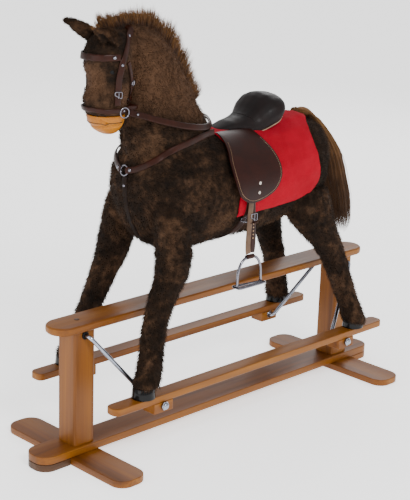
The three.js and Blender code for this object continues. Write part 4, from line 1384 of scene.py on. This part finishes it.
def build_stirrups():
    x = LEATHER_STRAP["x"]
    for side, way in SIDES.items():
        y = way * LEATHER_STRAP["y"]
        body = f"{side}_leather"
        top, bottom = LEATHER_STRAP["top"], LEATHER_STRAP["bottom"]
        out = (0, way, 0)
        layers = {"front": (1, way * 0.0016, FADED), "rear": (-1, -way * 0.0010, TACK)}
        for label, (sign, off, material) in layers.items():
            gaps = [(top, 0.0030), (0.600, 0.0034), (0.560, 0.0060), (0.500, 0.0098), (0.472, 0.0100),
                    (bottom + 0.0012, 0.0080)]
            path = smooth_path([(x + sign * gap, y + off, z) for z, gap in gaps], 0.004)
            layer = sweep(f"{side}_{label}_stirrup_strap", path, strap_outline(0.0172, 0.0019, 0.0005),
                          material, [out] * len(path))
            nodes = [f"{side}_stirrup_leather"] if label == "front" else []
            place(layer, body, "tack_leather", nodes)
        buckle(f"{side}_stirrup_buckle", (x - 0.0060, y + way * 0.0034, 0.548), (0, 0, 1), out,
               0.021, 0.018, body)
        profile = [(0, -0.0003), (0.0014, -0.0003), (0.0017, 0.0001), (0.0010, 0.0002), (0, 0.0001)]
        for number in range(5):
            at = (x - 0.0082, y + way * 0.0004, 0.530 - 0.009 * number)
            hole = lathe(f"{side}_strap_hole_{number}", profile, at, out, THREAD, 16)
            place(hole, body, "tack_leather")
        round_angles = np.linspace(0, 2 * math.pi, 24, endpoint=False)
        loop_path = [(x - 0.0070 + 0.0100 * math.cos(a), y + way * 0.0028 * math.sin(a), 0.534)
                     for a in round_angles]
        section = [(-0.004, -0.0006), (0.004, -0.0006), (0.004, 0.0006), (-0.004, 0.0006)]
        keeper = sweep(f"{side}_stirrup_keeper", loop_path, section, TACK, closed=True)
        place(keeper, body, "tack_leather")
        bar = IRON["top"] - IRON["wire"] - 0.0005
        turn = [(x, y + 0.0048 * math.cos(a), bar + 0.0048 * math.sin(a)) for a in round_angles]
        bend = sweep(f"{side}_stirrup_bend", turn, strap_outline(0.026, 0.0019, 0.0005), TACK,
                     [(0, q[1] - y, q[2] - bar) for q in turn], closed=True)
        place(bend, body, "tack_leather")
        build_iron(side, x, y)


def build_iron(side, x, y):
    foot, top = IRON["foot"], IRON["top"] - IRON["wire"] - 0.0005
    arch = []
    for k in range(41):
        angle = math.pi * k / 40
        flat = math.copysign(abs(math.cos(angle)) ** 0.85, math.cos(angle))
        arch.append((x + IRON["half_width"] * flat, y, foot + (top - foot) * math.sin(angle) ** 0.62))
    wire = sweep(f"{side}_iron_bow", arch, round_outline(IRON["wire"], 14), STEEL)
    place(wire, f"{side}_stirrup", "chrome", [f"{side}_stirrup_iron"])
    half, deep, thick = IRON["half_width"] + 0.0036, IRON["tread_depth"] / 2, 0.0028
    corners = [(x + a * half, y + b * deep, foot) for a, b in CORNERS]
    rail = rounded_corners(corners, 0.006)[1:-1] + [(x - half, y, foot)]
    tread = sweep(f"{side}_iron_tread", rail, round_outline(thick, 10), STEEL, closed=True)
    place(tread, f"{side}_stirrup", "chrome")
    for number, gap in enumerate((-0.0045, 0.0045)):
        path = [(x + across, y + gap, foot) for across in (-half, 0, half)]
        bar = sweep(f"{side}_tread_bar_{number}", path, round_outline(0.0018, 8), STEEL)
        place(bar, f"{side}_stirrup", "chrome")


# ---------------------------------------------------------------- buckles, studs and rings
def stud(name, path, out, at, radius=0.0042):
    """A domed stud on a strap, at one point of its path."""
    r = radius
    profile = [(0, -0.001), (r, -0.001), (r * 1.05, 0.0002), (r * 0.92, r * 0.42),
               (r * 0.55, r * 0.68), (0, r * 0.78)]
    made = lathe(name, profile, path[at] + out[at] * 0.002, out[at], STEEL, 24)
    return place(made, "rocker", "chrome")


def buckle_on(name, path, out, at, width, height, lift=0.003, step=2):
    """A buckle on a strap, at one point of its path; a negative step turns it round."""
    buckle(name, path[at] + out[at] * lift, path[at + step] - path[at - step], out[at], width, height)


def buckle(name, centre, up, out, width, height, body="rocker"):
    """A rectangular buckle with its tongue, facing outward."""
    wire = 0.0012
    c, u, o = Vector(centre), Vector(up).normalized(), Vector(out).normalized()
    u = (u - o * u.dot(o)).normalized()
    side = u.cross(o)
    w, h = width / 2, height / 2
    corners = [c + side * a * w + u * b * h for a, b in CORNERS]
    ring = rounded_corners([tuple(p) for p in corners], 0.0035)[1:-1] + [np.array(c - side * w)]
    hoop = sweep(name, ring, round_outline(wire, 8), STEEL, closed=True)
    place(hoop, body, "chrome")
    path = [tuple(c - u * h), tuple(c + o * wire * 1.4), tuple(c + u * h + o * wire)]
    tongue = sweep(f"{name}_tongue", path, round_outline(wire * 0.75, 8), STEEL)
    place(tongue, body, "chrome")


def ring(name, centre, axis, radius, wire):
    profile = [(radius + wire * math.cos(a), wire * math.sin(a))
               for a in np.linspace(0, 2 * math.pi, 12, False)]
    return place(ring_solid(name, profile, centre, axis, STEEL, 40), "rocker", "chrome")


# ---------------------------------------------------------------- straps on the horse
def strap_on(tree, name, guide, cad, width=STRAP["width"], lift=None, material=None, snap=True):
    """A strap laid on the coat along a guide. It returns it with its path and outward directions."""
    guide = smooth_path(guide, 0.004)
    height = PILE + STRAP["thick"] / 2 if lift is None else lift(guide)
    path, out = lay(tree, guide, height, snap=snap)
    made = sweep(name, path, strap_outline(width, STRAP["thick"]), material or TACK, out)
    return place(made, "rocker", "tack_leather", [cad]), path, out


def head_ring(level, reach):
    """Guide points round the head, as far as an angle each way from straight ahead."""
    return [(0.386 + 0.075 * math.cos(angle), 0.062 * math.sin(angle), level)
            for angle in np.radians(np.linspace(-reach, reach, 25))]


def mirrored(half):
    return [(x, -y, z) for x, y, z in half[:0:-1]] + list(half)


# One half of each strap, from the middle line to the horse's left.
CROWN = [(0.338, 0.0, 1.035), (0.340, 0.026, 1.026), (0.346, 0.044, 1.008), (0.358, 0.056, 0.988),
         (0.374, 0.062, 0.966), (0.390, 0.062, 0.944), (0.397, 0.060, 0.910), (0.398, 0.058, 0.880),
         (0.398, 0.056, 0.852)]
THROAT = [(0.330, 0.0, 0.850), (0.334, 0.026, 0.858), (0.342, 0.044, 0.876), (0.350, 0.054, 0.900),
          (0.358, 0.058, 0.925), (0.368, 0.060, 0.948)]


def crown_lift(points):
    """The headpiece sinks into the fur above the browband."""
    return 0.0016 + 0.0040 * np.clip((0.972 - points[:, 2]) / 0.020, 0, 1)


def chest_lift(points):
    """The chest strap shows under its ring, and sinks into the fur below."""
    return 0.0002 + 0.0022 * np.clip((points[:, 2] - 0.640) / 0.020, 0, 1)


def build_bridle(tree):
    brow, path, out = strap_on(tree, "bridle_browband", head_ring(0.961, 84), "browband")
    for side, at in (("right", 4), ("left", -5)):
        stud(f"{side}_brow_stud", path, out, at)
    nose, path, out = strap_on(tree, "bridle_noseband", head_ring(0.838, 172), "noseband", width=0.011)
    for side, share in (("right", 0.21), ("left", 0.79)):
        stud(f"{side}_nose_stud", path, out, int(share * (len(path) - 1)), 0.0034)
    _, path, out = strap_on(tree, "bridle_headpiece", mirrored(CROWN), "headpiece", lift=crown_lift)
    for side, end in (("right", 0), ("left", -1)):
        last = len(path) - 1
        for label, share in (("crown", 0.62), ("cheek", 0.80)):
            stud(f"{side}_{label}_stud", path, out, int(last * (share if end else 1 - share)), 0.0036)
        at = int(last * (0.955 if end else 0.045))
        buckle_on(f"{side}_cheek_buckle", path, out, at, 0.018, 0.014, step=-2 if end else 2)
    latch, path, out = strap_on(tree, "bridle_throatlatch", mirrored(THROAT), "throatlatch",
                                width=0.010)
    buckle_on("throat_buckle", path, out, int((len(path) - 1) * 0.80), 0.014, 0.012)
    return [brow, nose, latch]


REIN = [(0.076, 0, 0.786), (0.082, 0.026, 0.781), (0.102, 0.052, 0.775), (0.140, 0.075, 0.776),
        (0.185, 0.085, 0.783), (0.235, 0.083, 0.794), (0.285, 0.074, 0.808), (0.325, 0.064, 0.821),
        (0.362, 0.054, 0.832)]


def build_rein(tree):
    """Held at both bit rings; it rests on the neck and bridges to the muzzle."""
    path = smooth_path(mirrored(REIN), 0.004)
    out = np.zeros_like(path)
    lift = PILE + STRAP["thick"] / 2
    for i, q in enumerate(path):
        near, normal, _, _ = tree.find_nearest(Vector(q))
        if (Vector(q) - near).dot(normal) < lift:
            path[i] = near + normal * lift
        out[i] = (0.1, np.sign(q[1]) if abs(q[1]) > 0.02 else q[1] / 0.02, 0.35)
    for _ in range(6):
        path[1:-1] = 0.5 * path[1:-1] + 0.25 * (path[:-2] + path[2:])
        out[1:-1] = unit(out[1:-1] + 0.5 * (out[:-2] + out[2:]))
    out = unit(out)
    rein = sweep("leather_rein", path, strap_outline(STRAP["width"], STRAP["thick"]), TACK, out)
    place(rein, "rocker", "tack_leather", ["rein"])
    for side, way in SIDES.items():
        ring(f"{side}_bit_ring", (0.378, way * 0.0545, 0.834), (0.15, 1, 0), 0.0115, 0.0016)
        stud(f"{side}_rein_stud", path, out, -6 if way > 0 else 5, 0.0032)
    return rein


# The breast strap from the ring to the saddle, seen from the side: (x, z).
BREAST = [(0.322, 0.690), (0.306, 0.700), (0.288, 0.713), (0.265, 0.727), (0.232, 0.738),
          (0.196, 0.746), (0.160, 0.752), (0.126, 0.755)]


def cad_y(points, x):
    """How far out a CAD strap lies at one x."""
    gap = np.exp(-((points[:, 0] - x) / 0.012) ** 2)
    return float((points[:, 1] * gap).sum() / gap.sum())


def build_breastplate(tree):
    made = []
    for side, way in SIDES.items():
        points = vertices_of(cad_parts[f"{side}_breast_strap"].data)
        guide = [(0.334, way * 0.010, 0.685), *[(x, cad_y(points, x), z) for x, z in BREAST]]
        guide.append((0.098, guide[-1][1] - way * 0.004, 0.757))
        strap, path, out = strap_on(tree, f"{side}_breast_leather", guide, f"{side}_breast_strap",
                                    snap=False)
        made.append(strap)
        stud(f"{side}_breast_stud", path, out, 3)
    near, normal, _, _ = tree.find_nearest(Vector((0.335, 0, 0.684)))
    hoop = ring("breast_hoop", near + normal * (PILE + 0.002), normal, 0.012, 0.002)
    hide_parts("breast_ring")
    guide = [(0.330, 0, 0.670), (0.328, 0, 0.645), (0.318, 0, 0.605), (0.296, 0, 0.560),
             (0.262, 0, 0.518)]
    _, path, out = strap_on(tree, "shaded_chest_leather", guide, "chest_strap", lift=chest_lift,
                            material=SHADED_CHEST_LEATHER)
    stud("chest_stud", path, out, 6, 0.0036)
    return made


def build_girth(tree):
    x = 0.031
    guide = [(x, 0.150 * math.sin(a), TRUNK["z"] - 0.150 * math.cos(a))
             for a in np.radians(np.linspace(-98, 98, 61))]
    guide = smooth_path(guide, 0.005)
    over_blanket = np.clip((guide[:, 2] - 0.525) / 0.02, 0, 1)
    lift = 0.0018 + (PILE + BLANKET["thick"] - 0.0002) * over_blanket
    path, out = lay(tree, guide, lift, 3)
    girth = sweep("girth_leather", path, strap_outline(0.028, 0.0026), TACK, out)
    place(girth, "rocker", "tack_leather", ["girth"])
    for side, share in (("right", 0.20), ("left", 0.80)):
        at = int((len(path) - 1) * share)
        buckle_on(f"{side}_girth_buckle", path, out, at, 0.030, 0.020, lift=0.0028)
    return girth


# ---------------------------------------------------------------- the whole scene
CHROME = chrome("chrome", srgb(112, 118, 130), srgb(172, 178, 190))
STEEL = chrome("tack_steel", srgb(92, 90, 98), srgb(140, 138, 146))
BLACK = black_plastic("bush_black")
HOOF_BLACK = gloss_black("hoof_black")
EYE = black_plastic("eye_black")
PLUSH = plush_material()
MANE_HAIR = hair_material("mane_hair", srgb(16, 9, 5), srgb(60, 36, 18), srgb(150, 106, 60))
TAIL_HAIR = hair_material("tail_hair", srgb(112, 78, 42), srgb(78, 52, 30), srgb(64, 42, 24))
FELT = felt_material()
SADDLE = leather("saddle_leather", srgb(10, 5, 5), srgb(22, 11, 10), 0.44)
FLAP_LEATHER = leather("flap_leather", srgb(26, 4, 0), srgb(40, 8, 1), 0.36)
TACK = leather("tack_leather", srgb(26, 7, 1), srgb(46, 15, 4), 0.32)
# A darker, matte copy of the tack leather: painted shade for the strap that runs down the chest.
SHADED_CHEST_LEATHER = leather("shaded_chest_leather", srgb(12, 5, 2), srgb(24, 11, 5), 0.70)
FADED = leather("faded_leather", srgb(70, 52, 40), srgb(104, 80, 62), 0.45)
PIPING = leather("piping_leather", srgb(120, 96, 78), srgb(160, 134, 110), 0.5)
THREAD = leather("thread", srgb(150, 120, 92), srgb(186, 156, 124), 0.7)
PALE_METAL = chrome("pale_metal", srgb(170, 160, 150), srgb(206, 198, 188))
MUZZLE_WOOD = wood("muzzle_wood", "x", *HONEY, offset=(1, 1, 1))
# Dark wood for the painted shadow line in the mouth's groove.
MOUTH_SHADOW_WOOD = wood("mouth_shadow_wood", "x", *DARK_WOOD_AND_SHADE, offset=(2, 1, 1))

make_camera()
make_studio()
build_stand()
build_rods()
build_runners()
coat = build_coat()
skin = surface_tree(coat)
build_hooves()
build_muzzle()
build_ears()
build_eyes(skin)
blanket = build_blanket(skin)
seat = build_seat()
seat_trim(seat)
build_flaps()
build_stirrups()
straps = [*build_bridle(skin), build_rein(skin), *build_breastplate(skin), build_girth(skin)]
build_mane()
build_tail()
build_fur(coat, surface_tree(blanket, *straps))
for leg in LEGS:
    eased_cad(f"{leg}_leg_post", wood(f"{leg}_post_wood", "z", *STAND), 0.0005)
